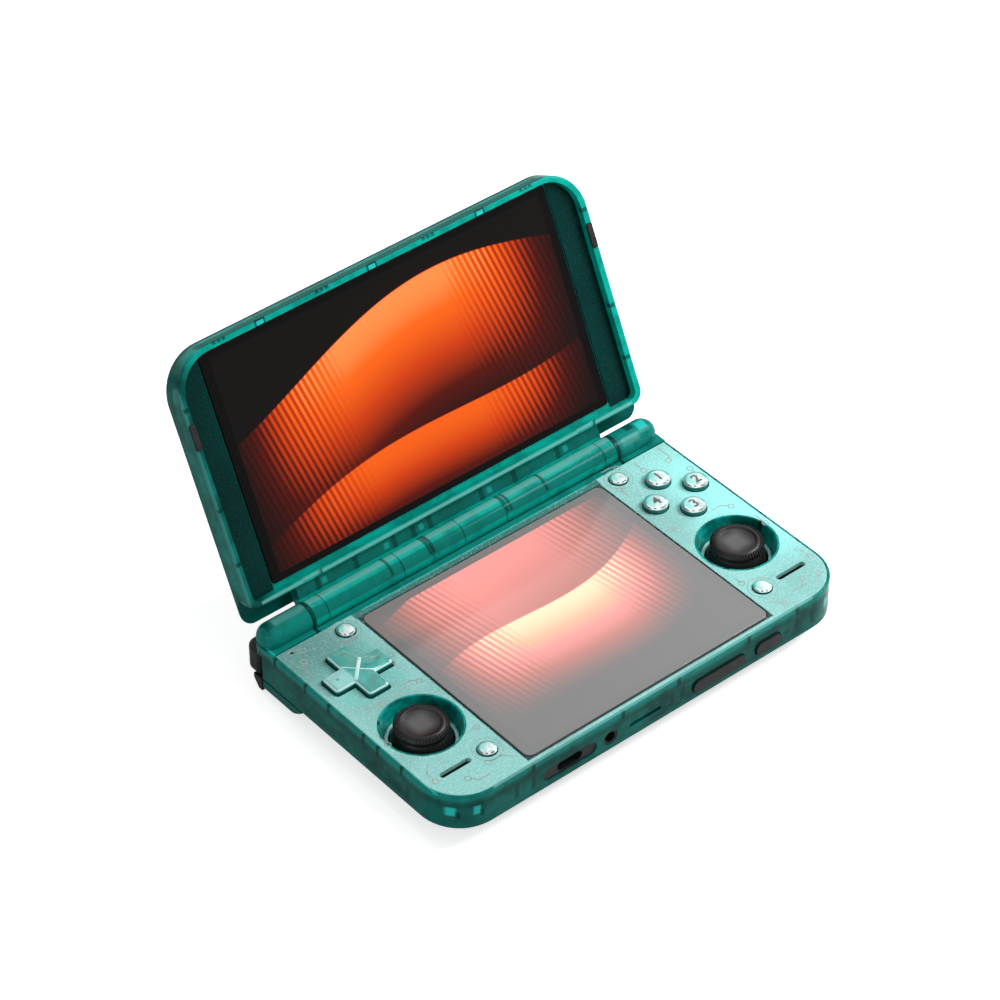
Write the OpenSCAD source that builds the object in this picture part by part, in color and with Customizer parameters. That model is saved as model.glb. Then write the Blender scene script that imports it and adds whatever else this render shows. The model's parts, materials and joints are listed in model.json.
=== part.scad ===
// Clamshell handheld game console with two screens, lid open at its working angle.
// X runs along the hinge, Y from the front edge to the hinge, Z up from the table.
// The origin is the middle of the base, on the plane that its feet stand on.

/* [Base] */
// Width of the base and of the lid
body_w = 150; // [146:1:160]
// Distance from the hinge axis to the front edge
base_reach = 86.8; // [85:0.2:94]
// Height of the base from its underside to its deck
base_h = 13.3; // [13:0.1:16]
// Height of the underside above the table
stand_off = 4.6; // [4:0.1:6]
// Radius of the front corners seen from above
corner_r = 14; // [8:0.5:16]
// Rounding of the lower outside edge
base_edge_r = 2.2; // [1:0.1:2.4]
// Thickness of the moulded walls
wall = 1.6; // [1.2:0.1:1.8]
// Thickness of the floor of the bottom cover
floor_t = 1.5; // [1:0.1:1.8]
// Thickness of the deck plate
deck_t = 1.5; // [1:0.1:1.6]
// Width of the frame's edge that shows round the deck plate
deck_lip = 0.8; // [0.6:0.1:1]
// Height of the bottom cover's side up to its seam
seam_h = 2.8; // [2.4:0.1:3.4]

/* [Hinge] */
// Height of the hinge axis above the deck
hinge_rise = 1.5; // [1:0.1:2]
// Radius of the hinge barrel
barrel_r = 4.4; // [4:0.1:4.8]
// Distance from the middle to the joint between barrel and knuckle
knuckle_x = 57.5; // [54:0.5:60]
// Gap at each moving joint of the hinge
hinge_gap = 0.3; // [0.2:0.05:0.4]
// Radius of the steel hinge pins
pin_r = 1.6; // [1.2:0.1:1.9]
// How far a hinge pin reaches into the barrel
pin_reach = 9; // [6:0.5:11]
// Angle that the open lid leans back from upright
lid_lean = 25.9; // [0:0.1:50]

/* [Lid] */
// Thickness of the lid
lid_h = 8.1; // [7.8:0.1:9]
// Gap between the closed lid's rim and the deck
closed_gap = 1; // [1:0.1:1.3]
// Distance from the hinge axis to the lid's near edge
lid_start = 9.2; // [8.8:0.1:10]
// Radius of the lid's two corners next to the hinge
lid_low_r = 4; // [3:0.5:6]
// Width of the lid's rim at its sides
rim_side = 2.4; // [2:0.1:3]
// Width of the lid's rim at its far and near edges
rim_end = 1.9; // [1.6:0.1:2.1]
// Depth of the screen below the lid's rim
rim_depth = 2.3; // [2.3:0.1:2.5]
// Rounding of the lid's outside edges
lid_edge_r = 2; // [1:0.1:2.4]
// Thickness of the lid's back
back_t = 1.3; // [1:0.1:1.5]

/* [Screens] */
// Width of the upper glass
upper_w = 127.2; // [120:0.2:130]
// Height of the upper glass
upper_h = 71.3; // [68:0.1:71.6]
// Distance from the hinge axis to the upper glass
upper_start = 12.7; // [12.4:0.1:13]
// Width of the lower glass
lower_w = 91; // [84:0.2:92]
// Depth of the lower glass from front to back
lower_d = 74.6; // [68:0.2:75]
// Distance from the hinge axis to the lower glass
lower_start = 9.4; // [9:0.1:10]
// Thickness of each glass
glass_t = 0.9; // [0.7:0.1:1]
// Height of the lower glass above the deck
glass_rise = 0.3; // [0.1:0.1:0.4]
// Thickness of each display panel
panel_t = 1.4; // [1:0.1:1.6]

/* [Sticks] */
// Distance of the sticks from the middle
stick_x = 59.8; // [58.5:0.2:60.5]
// Distance of the sticks from the hinge axis
stick_back = 54.7; // [50:0.5:57]
// Radius of the well's mouth
well_r = 12.4; // [12:0.1:12.6]
// Depth of the well below the deck
well_depth = 5.4; // [5.2:0.1:5.8]
// Radius of the thumb cap
cap_r = 8; // [7:0.1:8.2]
// Height of the thumb cap above the deck
cap_rise = 1.3; // [0.8:0.1:1.4]
// Depth of the tilting centre below the deck
stick_pivot = 7.8; // [7.6:0.1:7.9]

/* [Buttons] */
// Distance of the round button group and the cross from the middle
pad_x = 60.5; // [59.8:0.1:60.6]
// Distance of the cross and the button group from the hinge axis
pad_back = 27; // [25:0.1:29]
// Distance of each face button from the middle of its group
face_pitch = 8; // [7.6:0.1:8]
// Radius of the face buttons
face_r = 3.8; // [3.4:0.05:3.85]
// Height of the face buttons' domes above the deck
button_rise = 2.1; // [1.4:0.1:2.2]
// Height of the small buttons' domes above the deck
small_rise = 1.2; // [0.8:0.1:1.3]
// Length of the cross from tip to tip
cross_len = 20.4; // [18:0.2:21]
// Width of the cross's arms
cross_w = 7.2; // [6:0.1:7.6]
// Radius of the small buttons
small_r = 2.8; // [2.4:0.05:3]
// Distance of the small buttons from the middle
small_x = 52; // [51.4:0.1:52.6]
// Distance of the rear small buttons from the hinge axis
small_near = 10.8; // [10.4:0.1:11.4]
// Distance of the front small buttons from the hinge axis
small_far = 74; // [73:0.1:76]
// How far the buttons go down
button_travel = 0.8; // [0.5:0.1:0.9]

/* [Rear buttons] */
// Length of the shoulder buttons and triggers
shoulder_w = 30; // [26:0.5:32]
// How far the shoulder buttons stand out behind the hinge axis
shoulder_out = 8; // [7:0.1:8.4]
// Height of the shoulder buttons
shoulder_h = 8.6; // [8:0.1:9]

/* [Front edge] */
// Place of the charging port along the front edge
usb_x = -32.5; // [-36:0.5:-31.5]
// Length of the charging port's surround
usb_w = 19.4; // [17:0.1:20]
// Height of the openings in the front edge
port_h = 4.4; // [4:0.1:4.8]
// Place of the headphone jack along the front edge
jack_x = -17.6; // [-18:0.1:-16]
// Radius of the headphone jack's bore
jack_r = 1.8; // [1.75:0.01:1.85]
// Place of the memory card slot along the front edge
card_x = -4.6; // [-6:0.1:-2]
// Place of the volume rocker along the front edge
volume_x = 23.4; // [20:0.2:24]
// Length of the volume rocker
volume_w = 20; // [16:0.2:21]
// Place of the power button along the front edge
power_x = 42.7; // [41:0.1:46]
// Length of the power button
power_w = 9.8; // [8:0.1:10]
// Depth of the front openings' centre line below the deck
port_drop = 7.4; // [6.8:0.1:7.6]

/* [Hidden] */

$fn = 48;
LEFT = -1;
RIGHT = 1;
SIDES = [LEFT, RIGHT];
eps = 0.05;                                   // overshoot of cutting solids

// Heights and depths of the base
hinge_y = (base_reach - barrel_r) / 2;
deck_z = stand_off + base_h;
hinge_z = deck_z + hinge_rise;
base_d = base_reach + barrel_r;
rear_r = barrel_r;                            // the rear corners carry on the knuckles' round ends
seat_gap = 0.1;                               // between pieces that rest on each other
run_gap = 0.3;                                // between pieces that move past each other

// Depths below the deck, counted down
under_drop = base_h;
floor_drop = base_h - floor_t;
board_t = 1;
board_drop = deck_t + 4.5;                    // top face of the main board
board_low = board_drop + board_t;
tray_t = 0.6;
tray_low = panel_t + glass_t - glass_rise + tray_t + 2 * seat_gap;
knuckle_drop = 3.4;                           // thickness left under the knuckles
trough_r = barrel_r + run_gap + 0.1;

// Origin on the deck, right below the hinge axis
module at_deck() translate([0, hinge_y, deck_z]) children();

// Origin on the hinge axis, Y up along the lid, Z out of the screen
module on_lid() translate([0, hinge_y, hinge_z]) rotate([90 - lid_lean, 0, 0]) children();

// Mirrors what is built for the right-hand side
module on_side(side) mirror([side < 0 ? 1 : 0, 0, 0]) children();

// Cylinder along X from x0 to x1
module bar_x(r, x0, x1) translate([x0, 0, 0]) rotate([0, 90, 0]) cylinder(r = r, h = x1 - x0);

// Cross-section of a plate with rounded lower and upper edges, centred on X
module edge_profile(w, h, low_r, top_r) {
    intersection() {
        translate([-w / 2, 0]) square([w, h]);
        union() {
            translate([-w / 2, low_r]) square([w, h - low_r - top_r]);
            translate([-w / 2 + low_r, 0]) square([w - 2 * low_r, h / 2]);
            translate([-w / 2 + top_r, h / 2]) square([w - 2 * top_r, h / 2]);
            for (s = SIDES) {
                translate([s * (w / 2 - low_r), low_r]) circle(r = low_r);
                translate([s * (w / 2 - top_r), h - top_r]) circle(r = top_r);
            }
        }
    }
}

// Round plate with rounded edges
module puck(r, h, low_r = 0, top_r = 0) {
    rotate_extrude() intersection() {
        edge_profile(2 * r, h, low_r, top_r);
        square([r, h]);
    }
}

// Plate with rounded corners and rounded edges: the near corners have radius r, the far ones far_r
module soft_plate(w, d, h, r, far_r, low_r = 0, top_r = 0) {
    for (s = SIDES) {
        translate([s * (w / 2 - r), -d / 2 + r, 0]) puck(r, h, low_r, top_r);
        translate([s * (w / 2 - far_r), d / 2 - far_r, 0]) puck(far_r, h, low_r, top_r);
    }
    translate([-w / 2 + r, -d / 2 + r, 0])
        rotate([90, 0, 90]) linear_extrude(w - 2 * r) edge_profile(2 * r, h, low_r, top_r);
    translate([-w / 2 + far_r, d / 2 - far_r, 0])
        rotate([90, 0, 90]) linear_extrude(w - 2 * far_r) edge_profile(2 * far_r, h, low_r, top_r);
    translate([0, d / 2 - far_r, 0])
        rotate([90, 0, 0]) linear_extrude(d - r - far_r) edge_profile(w, h, low_r, top_r);
}

// Rounded rectangle
module round_rect(w, d, r) {
    square([w - 2 * r, d], center = true);
    square([w, d - 2 * r], center = true);
    for (sx = SIDES, sy = SIDES) translate([sx * (w / 2 - r), sy * (d / 2 - r)]) circle(r = r);
}

module round_plate(w, d, h, r) linear_extrude(h) round_rect(w, d, r);

// Slot with round ends
module stadium(w, h) {
    square([w - h, h], center = true);
    for (s = SIDES) translate([s * (w - h) / 2, 0]) circle(r = h / 2);
}

// Prism from front to back, centred on X and Z, that starts at Y = 0 and runs to the back
module front_prism(depth) rotate([90, 0, 0]) translate([0, 0, -depth]) linear_extrude(depth) children();

// ---------------------------------------------------------------- base shells

// Solid outline of the base between two depths below the deck
module base_block(drop_top, drop_low, inset = 0, low_r = 0, top_r = 0) {
    translate([0, (barrel_r - base_reach) / 2, -drop_low])
        soft_plate(body_w - 2 * inset, base_d - 2 * inset, drop_low - drop_top,
            corner_r - inset, rear_r - inset, low_r, top_r);
}

notch_x = body_w / 2 - shoulder_w - 2 * run_gap;   // inner end of the rear corner notches
notch_front = 1;                                   // how far the notches reach in front of the axis
notch_top = knuckle_drop + run_gap - 0.1;

// Space of the shoulder button and the trigger at one rear corner
module rear_notch() {
    translate([notch_x, -notch_front, -under_drop - eps])
        cube([body_w / 2, notch_front + barrel_r + 1, under_drop - notch_top + eps]);
}

// Walls that close the housing towards a rear corner notch, between two depths
module notch_walls(drop_top, drop_low) {
    translate([notch_x - wall, -notch_front - wall, -drop_low])
        cube([body_w / 2 - notch_x + wall - 0.5, wall, drop_low - drop_top]);
    translate([notch_x - wall, -notch_front - wall, -drop_low])
        cube([wall, notch_front + wall + barrel_r - 0.5, drop_low - drop_top]);
}

// Places of the screw posts: distance from the middle, distance from the hinge axis
screw_places = [
    [body_w / 2 - corner_r + 5, base_reach - corner_r + 7.4],
    [body_w / 2 - wall - 3.2, (stick_back + pad_back) / 2 + 0.4],
    [body_w / 2 - wall - 3.2, trough_r + wall + 4.2]
];
pin_place = [body_w / 2 - corner_r + 9.3, base_reach - corner_r + 2.6];  // locating pin beside the front post
screw_hole_r = 0.9;
post_r = 2.2;

module screw_posts(drop_top, drop_low) {
    for (s = SIDES, p = screw_places)
        translate([s * p[0], -p[1], -drop_low]) cylinder(r = post_r, h = drop_low - drop_top);
}

module screw_bores(r, drop_top, drop_low) {
    for (s = SIDES, p = screw_places)
        translate([s * p[0], -p[1], -drop_low]) cylinder(r = r, h = drop_low - drop_top);
}

volume_gap = run_gap;
card_w = 12;
card_slot_h = 1.3;

// Openings of the front wall
module front_openings() {
    translate([0, -base_reach - 1, -port_drop]) {
        translate([usb_x, 0, 0]) front_prism(wall + 2) stadium(usb_w + seat_gap * 2, port_h + seat_gap * 2);
        translate([jack_x, 0, 0]) front_prism(wall + 2) circle(r = jack_r + 0.7 + seat_gap);
        translate([card_x, 0, 0]) front_prism(wall + 2) stadium(card_w, card_slot_h);
        translate([volume_x, 0, 0]) front_prism(wall + 2)
            stadium(volume_w + 2 * volume_gap, port_h + 2 * volume_gap);
        translate([power_x, 0, 0]) front_prism(wall + 2)
            stadium(power_w + 2 * volume_gap, port_h + 2 * volume_gap);
    }
}

vent_count = 9;
vent_pitch = 6;
vent_w = 3.4;
vent_h = 1.6;

module rear_vents() {
    for (i = [0 : vent_count - 1])
        translate([(i - (vent_count - 1) / 2) * vent_pitch, barrel_r + 1, -seam_vent])
            rotate([0, 0, 180]) front_prism(wall + 2) stadium(vent_w, vent_h);
}
seam_vent = 7.6;                                   // depth of the rear vents below the deck

// Wall ring of the base with the hinge knuckles and the barrel's trough
module base_frame() {
    axis = [0, 0, hinge_rise];
    color("teal") at_deck() difference() {
        union() {
            difference() {
                base_block(0, base_h - seam_h, 0, 0, 0.6);
                base_block(-eps, base_h - seam_h + eps, wall);
                base_block(-eps, deck_t, deck_lip);
            }
            for (side = SIDES) on_side(side) {
                intersection() {
                    base_block(0, knuckle_drop);
                    translate([knuckle_x - wall, -barrel_r - wall, -knuckle_drop])
                        cube([body_w, 2 * barrel_r + wall, knuckle_drop]);
                }
                translate(axis) bar_x(barrel_r, knuckle_x + hinge_gap / 2, body_w / 2 - barrel_r);
                translate(axis + [body_w / 2 - barrel_r, 0, 0]) sphere(r = barrel_r);
                notch_walls(knuckle_drop - eps, base_h - seam_h);
            }
            translate([-knuckle_x, -trough_r - wall, -barrel_r])
                cube([2 * knuckle_x, trough_r + wall + barrel_r - 0.5, barrel_r]);
        }
        translate(axis) bar_x(trough_r, -knuckle_x - hinge_gap / 2, knuckle_x + hinge_gap / 2);
        translate([-knuckle_x - hinge_gap / 2, 0, hinge_rise - trough_r])
            cube([2 * knuckle_x + hinge_gap, barrel_r + 1, trough_r]);
        for (side = SIDES) on_side(side) {
            translate(axis) bar_x(pin_r + 0.02, knuckle_x - 1, knuckle_x + pin_reach);
            rear_notch();
            translate([shoulder_pin_x, shoulder_pin_y, -notch_top - eps])
                cylinder(r = shoulder_pin_r + 0.02, h = 1.5);
        }
        front_openings();
        rear_vents();
    }
}

slot_w = 11;
slot_h = 2;
speaker_x = 63.4;
speaker_back = 73.9;
mic_r = 0.6;

module cross_outline(len, w, r) {
    round_rect(len, w, r);
    round_rect(w, len, r);
}

face_spots = [[0, 1], [1, 0], [-1, 0], [0, -1]];

// Visible top plate with the holes of all controls
module deck_plate() {
    color([0.6, 0.85, 0.78]) at_deck() difference() {
        union() {
            intersection() {
                base_block(0, deck_t - seat_gap, deck_lip + seat_gap, 0, 0.3);
                translate([-body_w / 2, -base_reach, -deck_t])
                    cube([body_w, base_reach - trough_r - wall - seat_gap, deck_t + 1]);
            }
            screw_posts(deck_t / 2, floor_drop - seat_gap);
            for (s = SIDES) translate([s * pin_place[0], -pin_place[1], -floor_drop + seat_gap])
                cylinder(r = 1.4, h = floor_drop - deck_t / 2);
        }
        screw_bores(screw_hole_r, deck_t + 0.4, floor_drop);
        translate([0, -lower_start - lower_d / 2, -deck_t - eps])
            round_plate(lower_w + 1, lower_d + 1, deck_t + 1, 2.8);
        for (side = SIDES) on_side(side) {
            translate([stick_x, -stick_back, -deck_t - eps]) cylinder(r = well_r + seat_gap, h = deck_t + 1);
            translate([speaker_x, -speaker_back, -deck_t - eps]) linear_extrude(deck_t + 1) stadium(slot_w, slot_h);
            for (back = [small_near, small_far])
                translate([small_x, -back, -deck_t - eps]) cylinder(r = small_r + run_gap, h = deck_t + 1);
        }
        for (spot = face_spots)
            translate([pad_x + spot[0] * face_pitch, -pad_back + spot[1] * face_pitch, -deck_t - eps])
                cylinder(r = face_r + run_gap, h = deck_t + 1);
        translate([-pad_x, -pad_back, -deck_t - eps]) linear_extrude(deck_t + 1)
            cross_outline(cross_len + 4 * run_gap, cross_w + 4 * run_gap, 1.4);
        translate([-pad_x - 9, -small_near + 2.6, -deck_t - eps]) cylinder(r = mic_r, h = deck_t + 1);
    }
}

grip_inner = notch_x - 1;
grip_front = 18.3;
grip_rear = notch_front;
grip_flat = 5;                                     // depth of the flat part under each grip
grip_bottom = 0.4;                                 // the grips' clearance above the table

// Rounded grip under one rear corner
module grip() {
    drop = stand_off - grip_bottom;
    run = grip_front - grip_rear - grip_flat;
    arc_r = (run * run + drop * drop) / (2 * drop);
    intersection() {
        translate([grip_inner, 0, 0]) rotate([90, 0, 90]) linear_extrude(body_w / 2 - grip_inner)
            intersection() {
                union() {
                    translate([-grip_rear - grip_flat, -under_drop - drop + arc_r]) circle(r = arc_r, $fn = 96);
                    translate([-grip_rear - grip_flat, -under_drop - drop]) square([grip_flat, drop + floor_t]);
                }
                translate([-grip_front - 2, -under_drop - drop])
                    square([grip_front + 2 - grip_rear, drop + floor_t / 2]);
            }
        translate([(grip_inner + body_w / 2) / 2, 0, -under_drop - drop])
            rotate([90, 0, 0]) linear_extrude(grip_front + 2)
                edge_profile(body_w / 2 - grip_inner, drop + floor_t, drop * 0.7, 0);
    }
}

// Lug at the inner end of the notch that carries the trigger's pin
module cheek() {
    drop = stand_off - grip_bottom;
    translate([notch_x - 3, 0, 0]) rotate([90, 0, 90]) linear_extrude(3) {
        translate([-grip_rear - grip_flat, -under_drop - drop + 1.5]) square([grip_flat + trigger_rear, drop - 0.8]);
        translate([-grip_rear - grip_flat, -under_drop - drop]) square([grip_flat + 1.6, drop]);
        translate([1.2, -under_drop - drop + 1.5]) circle(r = 1.5);
    }
}

ridge_h = stand_off - 2;
foot_x = 50;
foot_back = base_reach - 11;
foot_w = 20;
foot_d = 5;

intake_count = 7;

// Floor of the base with the grips and the ridges that carry the front feet
module bottom_cover() {
    color([0, 0.45, 0.38]) at_deck() difference() {
        union() {
            difference() {
                base_block(base_h - seam_h, base_h, 0, base_edge_r, 0);
                base_block(base_h - seam_h - eps, floor_drop, wall);
            }
            for (side = SIDES) on_side(side) {
                grip();
                notch_walls(base_h - seam_h, base_h - floor_t / 2);
                cheek();
                translate([foot_x, -foot_back, -base_h - ridge_h])
                    round_plate(foot_w + 3, foot_d + 3, ridge_h + floor_t / 2, (foot_d + 3) / 2 - 0.2);
            }
        }
        for (side = SIDES) on_side(side) {
            translate([notch_x, -notch_front, -base_h - stand_off])
                cube([body_w / 2, notch_front + barrel_r + 1, stand_off + seam_h + 1]);
            translate([foot_x, -foot_back, -base_h - ridge_h - eps])
                round_plate(foot_w, foot_d, 0.8, foot_d / 2 - 0.1);
            translate([(grip_inner + body_w / 2) / 2, -grip_rear - pad_back_off, -base_h - stand_off])
                round_plate(pad_w, pad_d, grip_bottom + pad_sink, pad_d / 2 - 0.1);
            trigger_pin_bore(shoulder_pin_r + 0.02);
        }
        screw_bores(screw_hole_r + 0.15, floor_drop - eps, base_h + 1);
        for (s = SIDES, p = screw_places)
            translate([s * p[0], -p[1], -base_h - eps]) cylinder(r = head_r + 0.15, h = head_t + 0.2);
        for (i = [0 : intake_count - 1])
            translate([0, -fan_back + (i - (intake_count - 1) / 2) * 3.4, -base_h - 1])
                linear_extrude(floor_t + 2) stadium(24, 1.5);
    }
}
head_r = 1.8;
head_t = 0.9;
pad_w = 22;
pad_d = 4.4;
pad_sink = 0.7;
pad_back_off = 4;                                  // middle of the grip pads in front of the grips' rear face

// Two front feet and two grip pads
module rubber_feet() {
    color([0.1, 0.1, 0.1]) at_deck() for (side = SIDES) on_side(side) {
        translate([foot_x, -foot_back, -base_h - stand_off])
            soft_plate(foot_w - 0.2, foot_d - 0.2, stand_off - ridge_h + 0.7,
                foot_d / 2 - 0.2, foot_d / 2 - 0.2, 0.5, 0);
        translate([(grip_inner + body_w / 2) / 2, -grip_rear - pad_back_off, -base_h - stand_off])
            soft_plate(pad_w - 0.2, pad_d - 0.2, grip_bottom + pad_sink - seat_gap,
                pad_d / 2 - 0.2, pad_d / 2 - 0.2, 0.25, 0);
    }
}

// Six countersunk screws from below
module base_screws() {
    color([0.25, 0.25, 0.27]) at_deck() for (s = SIDES, p = screw_places)
        translate([s * p[0], -p[1], -base_h]) difference() {
            union() {
                cylinder(r = head_r, h = head_t);
                cylinder(r = screw_hole_r - 0.03, h = base_h - deck_t - 2);
            }
            for (a = [0, 90]) rotate(a) translate([-0.9, -0.2, -eps]) cube([1.8, 0.4, 0.5]);
        }
}

// ---------------------------------------------------------------- inside the base

module lower_glass() {
    color([0.35, 0.35, 0.37]) at_deck() translate([0, -lower_start - lower_d / 2, glass_rise - glass_t])
        soft_plate(lower_w, lower_d, glass_t, 2.3, 2.3, 0, 0.2);
}

panel_inset = 1.6;

module lower_display() {
    color([0.12, 0.12, 0.14]) at_deck()
        translate([0, -lower_start - lower_d / 2, glass_rise - glass_t - seat_gap - panel_t])
            round_plate(lower_w - 2 * panel_inset, lower_d - 2 * panel_inset, panel_t, 1);
}

// Metal tray that holds the lower screen from below
module screen_tray() {
    rim_top = -deck_t - seat_gap;
    color([0.7, 0.72, 0.74]) at_deck() translate([0, -lower_start - lower_d / 2, -tray_low]) difference() {
        round_plate(lower_w + 1.6, lower_d + 1.2, tray_low + rim_top, 2);
        translate([0, 0, tray_t])
            round_plate(lower_w - 2 * panel_inset + 0.4, lower_d - 2 * panel_inset + 0.4, panel_t * 2, 1);
    }
}

battery_w = 84;
battery_d = 28.6;
battery_back = base_reach - 32.2;
fan_back = 24;
fan_w = 34;
fan_r = 12.5;
chip_t = 1;
module_r = 7.3;                                    // radius of the stick modules

// Circuit board with cut-outs for the battery, the fan and the sticks, and its larger chips
module main_board() {
    color([0.05, 0.3, 0.22]) at_deck() {
        difference() {
            intersection() {
                base_block(board_drop, board_low, wall + 0.5);
                translate([-body_w / 2, -base_reach, -board_low])
                    cube([body_w, base_reach - trough_r - wall - 1, board_t]);
            }
            translate([0, -battery_back, -board_low - eps])
                round_plate(battery_w + 2, battery_d + 2, board_t + 1, 1);
            for (side = SIDES) on_side(side) {
                translate([stick_x, -stick_back, -board_low - eps]) {
                    cylinder(r = well_r + run_gap, h = board_t + 1);
                    translate([0, -well_r / 2, 0]) cube([2 * well_r, well_r, board_t + 1]);
                }
            }
            screw_bores(post_r + run_gap, board_drop - eps, board_low + eps);
            for (s = SIDES) translate([s * pin_place[0], -pin_place[1], -board_low - eps])
                cylinder(r = 2, h = board_t + 1);
            translate([usb_x - usb_w / 2 - 1, -base_reach, -board_low - eps])
                cube([card_x + card_w / 2 + 2 - usb_x + usb_w / 2, 18, board_t + 1]);
            translate([volume_x - volume_w / 2 - 2, -base_reach, -board_low - eps])
                cube([power_x + power_w / 2 + 4 - volume_x + volume_w / 2, 8, board_t + 1]);
        }
        for (chip = [[-20, 24, 14, 14], [4, 34, 12, 10], [20, 22, 16, 12], [26, 36, 8, 8]])
            translate([chip[0] - chip[2] / 2, -chip[1] - chip[3] / 2, -board_drop - eps])
                cube([chip[2], chip[3], chip_t + eps]);
    }
}

module battery() {
    color([0.2, 0.2, 0.22]) at_deck() translate([0, -battery_back, -floor_drop + seat_gap])
        soft_plate(battery_w, battery_d, floor_drop - board_drop - seat_gap + 0.6, 2, 2, 0.6, 0.6);
}

// Open scroll case of the fan, screwed under the board
module fan_housing() {
    low = floor_drop - seat_gap;
    color([0.15, 0.15, 0.16]) at_deck() translate([0, -fan_back, -low]) difference() {
        round_plate(fan_w, fan_w - 4, low - board_low - seat_gap, 3);
        translate([0, 0, 0.6]) cylinder(r = fan_r + 1, h = low - board_low - seat_gap - 1.2);
        translate([0, 0, -eps]) cylinder(r = fan_r - 3, h = 2);
        translate([0, 0, 0.6]) cube([fan_r, fan_w, low - board_low - seat_gap - 1.2]);
    }
    color([0.15, 0.15, 0.16]) at_deck() translate([0, -fan_back, -low + 1])
        cylinder(r = fan_shaft_r, h = low - board_low - seat_gap - 1.3);
}
blade_count = 13;
fan_shaft_r = 1;

module fan_rotor() {
    low = floor_drop - seat_gap - 0.6 - run_gap;
    top = board_low + seat_gap + 0.6 + run_gap;
    color([0.1, 0.1, 0.1]) at_deck() translate([0, -fan_back, -low]) {
        difference() {
            cylinder(r = 5, h = low - top);
            translate([0, 0, -eps]) cylinder(r = fan_shaft_r + fit_gap, h = low);
        }
        for (i = [0 : blade_count - 1]) rotate(i * 360 / blade_count)
            translate([4.6, -0.3, 0.3]) rotate([0, 0, 24]) cube([fan_r - 5.2, 0.6, low - top - 0.6]);
    }
}

module heat_spreader() {
    color([0.75, 0.45, 0.3]) at_deck()
        translate([0, -fan_back - 2, -board_drop + chip_t + seat_gap]) round_plate(70, 34, 0.4, 2);
}

module speaker(side) {
    color([0.13, 0.13, 0.14]) at_deck() on_side(side)
        translate([speaker_x - 1, -speaker_back, -board_drop + seat_gap]) difference() {
            round_plate(12, 7, board_drop - deck_t - 2 * seat_gap, 1.4);
            translate([0, 0, board_drop - deck_t - 2 * seat_gap - 0.8]) round_plate(10, 5, 1, 1);
        }
}
module speaker_left() speaker(LEFT);
module speaker_right() speaker(RIGHT);

// ---------------------------------------------------------------- front edge

usb_open_w = 9.2;
usb_open_h = 3.4;
port_depth = 8;

module usb_port() {
    color([0.12, 0.11, 0.12]) at_deck() translate([usb_x, -base_reach + 0.35, -port_drop]) difference() {
        union() {
            front_prism(wall) stadium(usb_w, port_h);
            translate([0, wall - 0.35 + seat_gap, 0]) front_prism(1) stadium(usb_w + 1.6, port_h + 1.4);
            translate([0, 1, 0]) front_prism(port_depth) stadium(usb_open_w + 2, usb_open_h + 1);
        }
        translate([0, -eps, 0]) front_prism(port_depth) difference() {
            stadium(usb_open_w, usb_open_h);
            square([6.6, 0.8], center = true);
        }
        translate([0, -eps, 0]) front_prism(1.4) stadium(usb_open_w, usb_open_h);
    }
}

jack_depth = 14;

module headphone_jack() {
    color([0.12, 0.11, 0.12]) at_deck() translate([jack_x, -base_reach + 0.2, -port_drop]) difference() {
        union() {
            front_prism(wall + 1) circle(r = jack_r + 0.7);
            translate([-3, wall - 0.1, -2.6]) cube([6, jack_depth - wall, 5.2]);
        }
        translate([0, -eps, 0]) front_prism(jack_depth - 1 + eps) circle(r = jack_r);
    }
}

module card_reader() {
    color([0.75, 0.75, 0.77]) at_deck() translate([card_x, -base_reach + wall + seat_gap, -port_drop])
        difference() {
            translate([-card_w / 2 - 1, 0, -1.3]) cube([card_w + 2, 15, 2.6]);
            translate([0, -eps, 0]) front_prism(14) square([card_w - 0.6, 0.9], center = true);
        }
}

edge_rise = 0.7;                                   // how far the edge buttons stand out of the wall

module edge_button(w) {
    translate([0, -base_reach - edge_rise, -port_drop]) {
        front_prism(wall + edge_rise + 0.6) stadium(w, port_h - 0.2);
        translate([0, wall + edge_rise + 0.6, 0]) front_prism(0.6) stadium(w + 1.6, port_h + 1);
    }
}

module volume_rocker() {
    color([0.1, 0.1, 0.1]) at_deck() translate([volume_x, 0, 0]) edge_button(volume_w);
}

module power_button() {
    color([0.1, 0.1, 0.1]) at_deck() translate([power_x, 0, 0]) edge_button(power_w);
}

// ---------------------------------------------------------------- deck buttons

dome_h = 0.7;                                      // height of a button's domed top
flange_t = 0.6;
flange_over = 0.8;
membrane_t = 0.8;
membrane_top = board_drop - membrane_t;            // depth of the sheet's upper face

// Clear button with a domed top and two tabs below the deck
module round_button(r, rise) {
    edge = rise - dome_h;
    ball_r = (r * r + dome_h * dome_h) / (2 * dome_h);
    translate([0, 0, -deck_t - run_gap - flange_t]) {
        intersection() {
            cylinder(r = r + flange_over, h = flange_t);
            translate([-r, -2 * r, 0]) cube([2 * r, 4 * r, flange_t]);
        }
        cylinder(r = r, h = edge + deck_t + run_gap + flange_t);
    }
    intersection() {
        translate([0, 0, rise - ball_r]) sphere(r = ball_r, $fn = 96);
        translate([0, 0, edge - eps]) cylinder(r = r, h = 1);
    }
}

module face_button(spot) {
    color([0.7, 0.95, 0.9]) at_deck()
        translate([pad_x + spot[0] * face_pitch, -pad_back + spot[1] * face_pitch, 0]) round_button(face_r, button_rise);
}
module face_button_rear() face_button(face_spots[0]);
module face_button_right() face_button(face_spots[1]);
module face_button_left() face_button(face_spots[2]);
module face_button_front() face_button(face_spots[3]);

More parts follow.
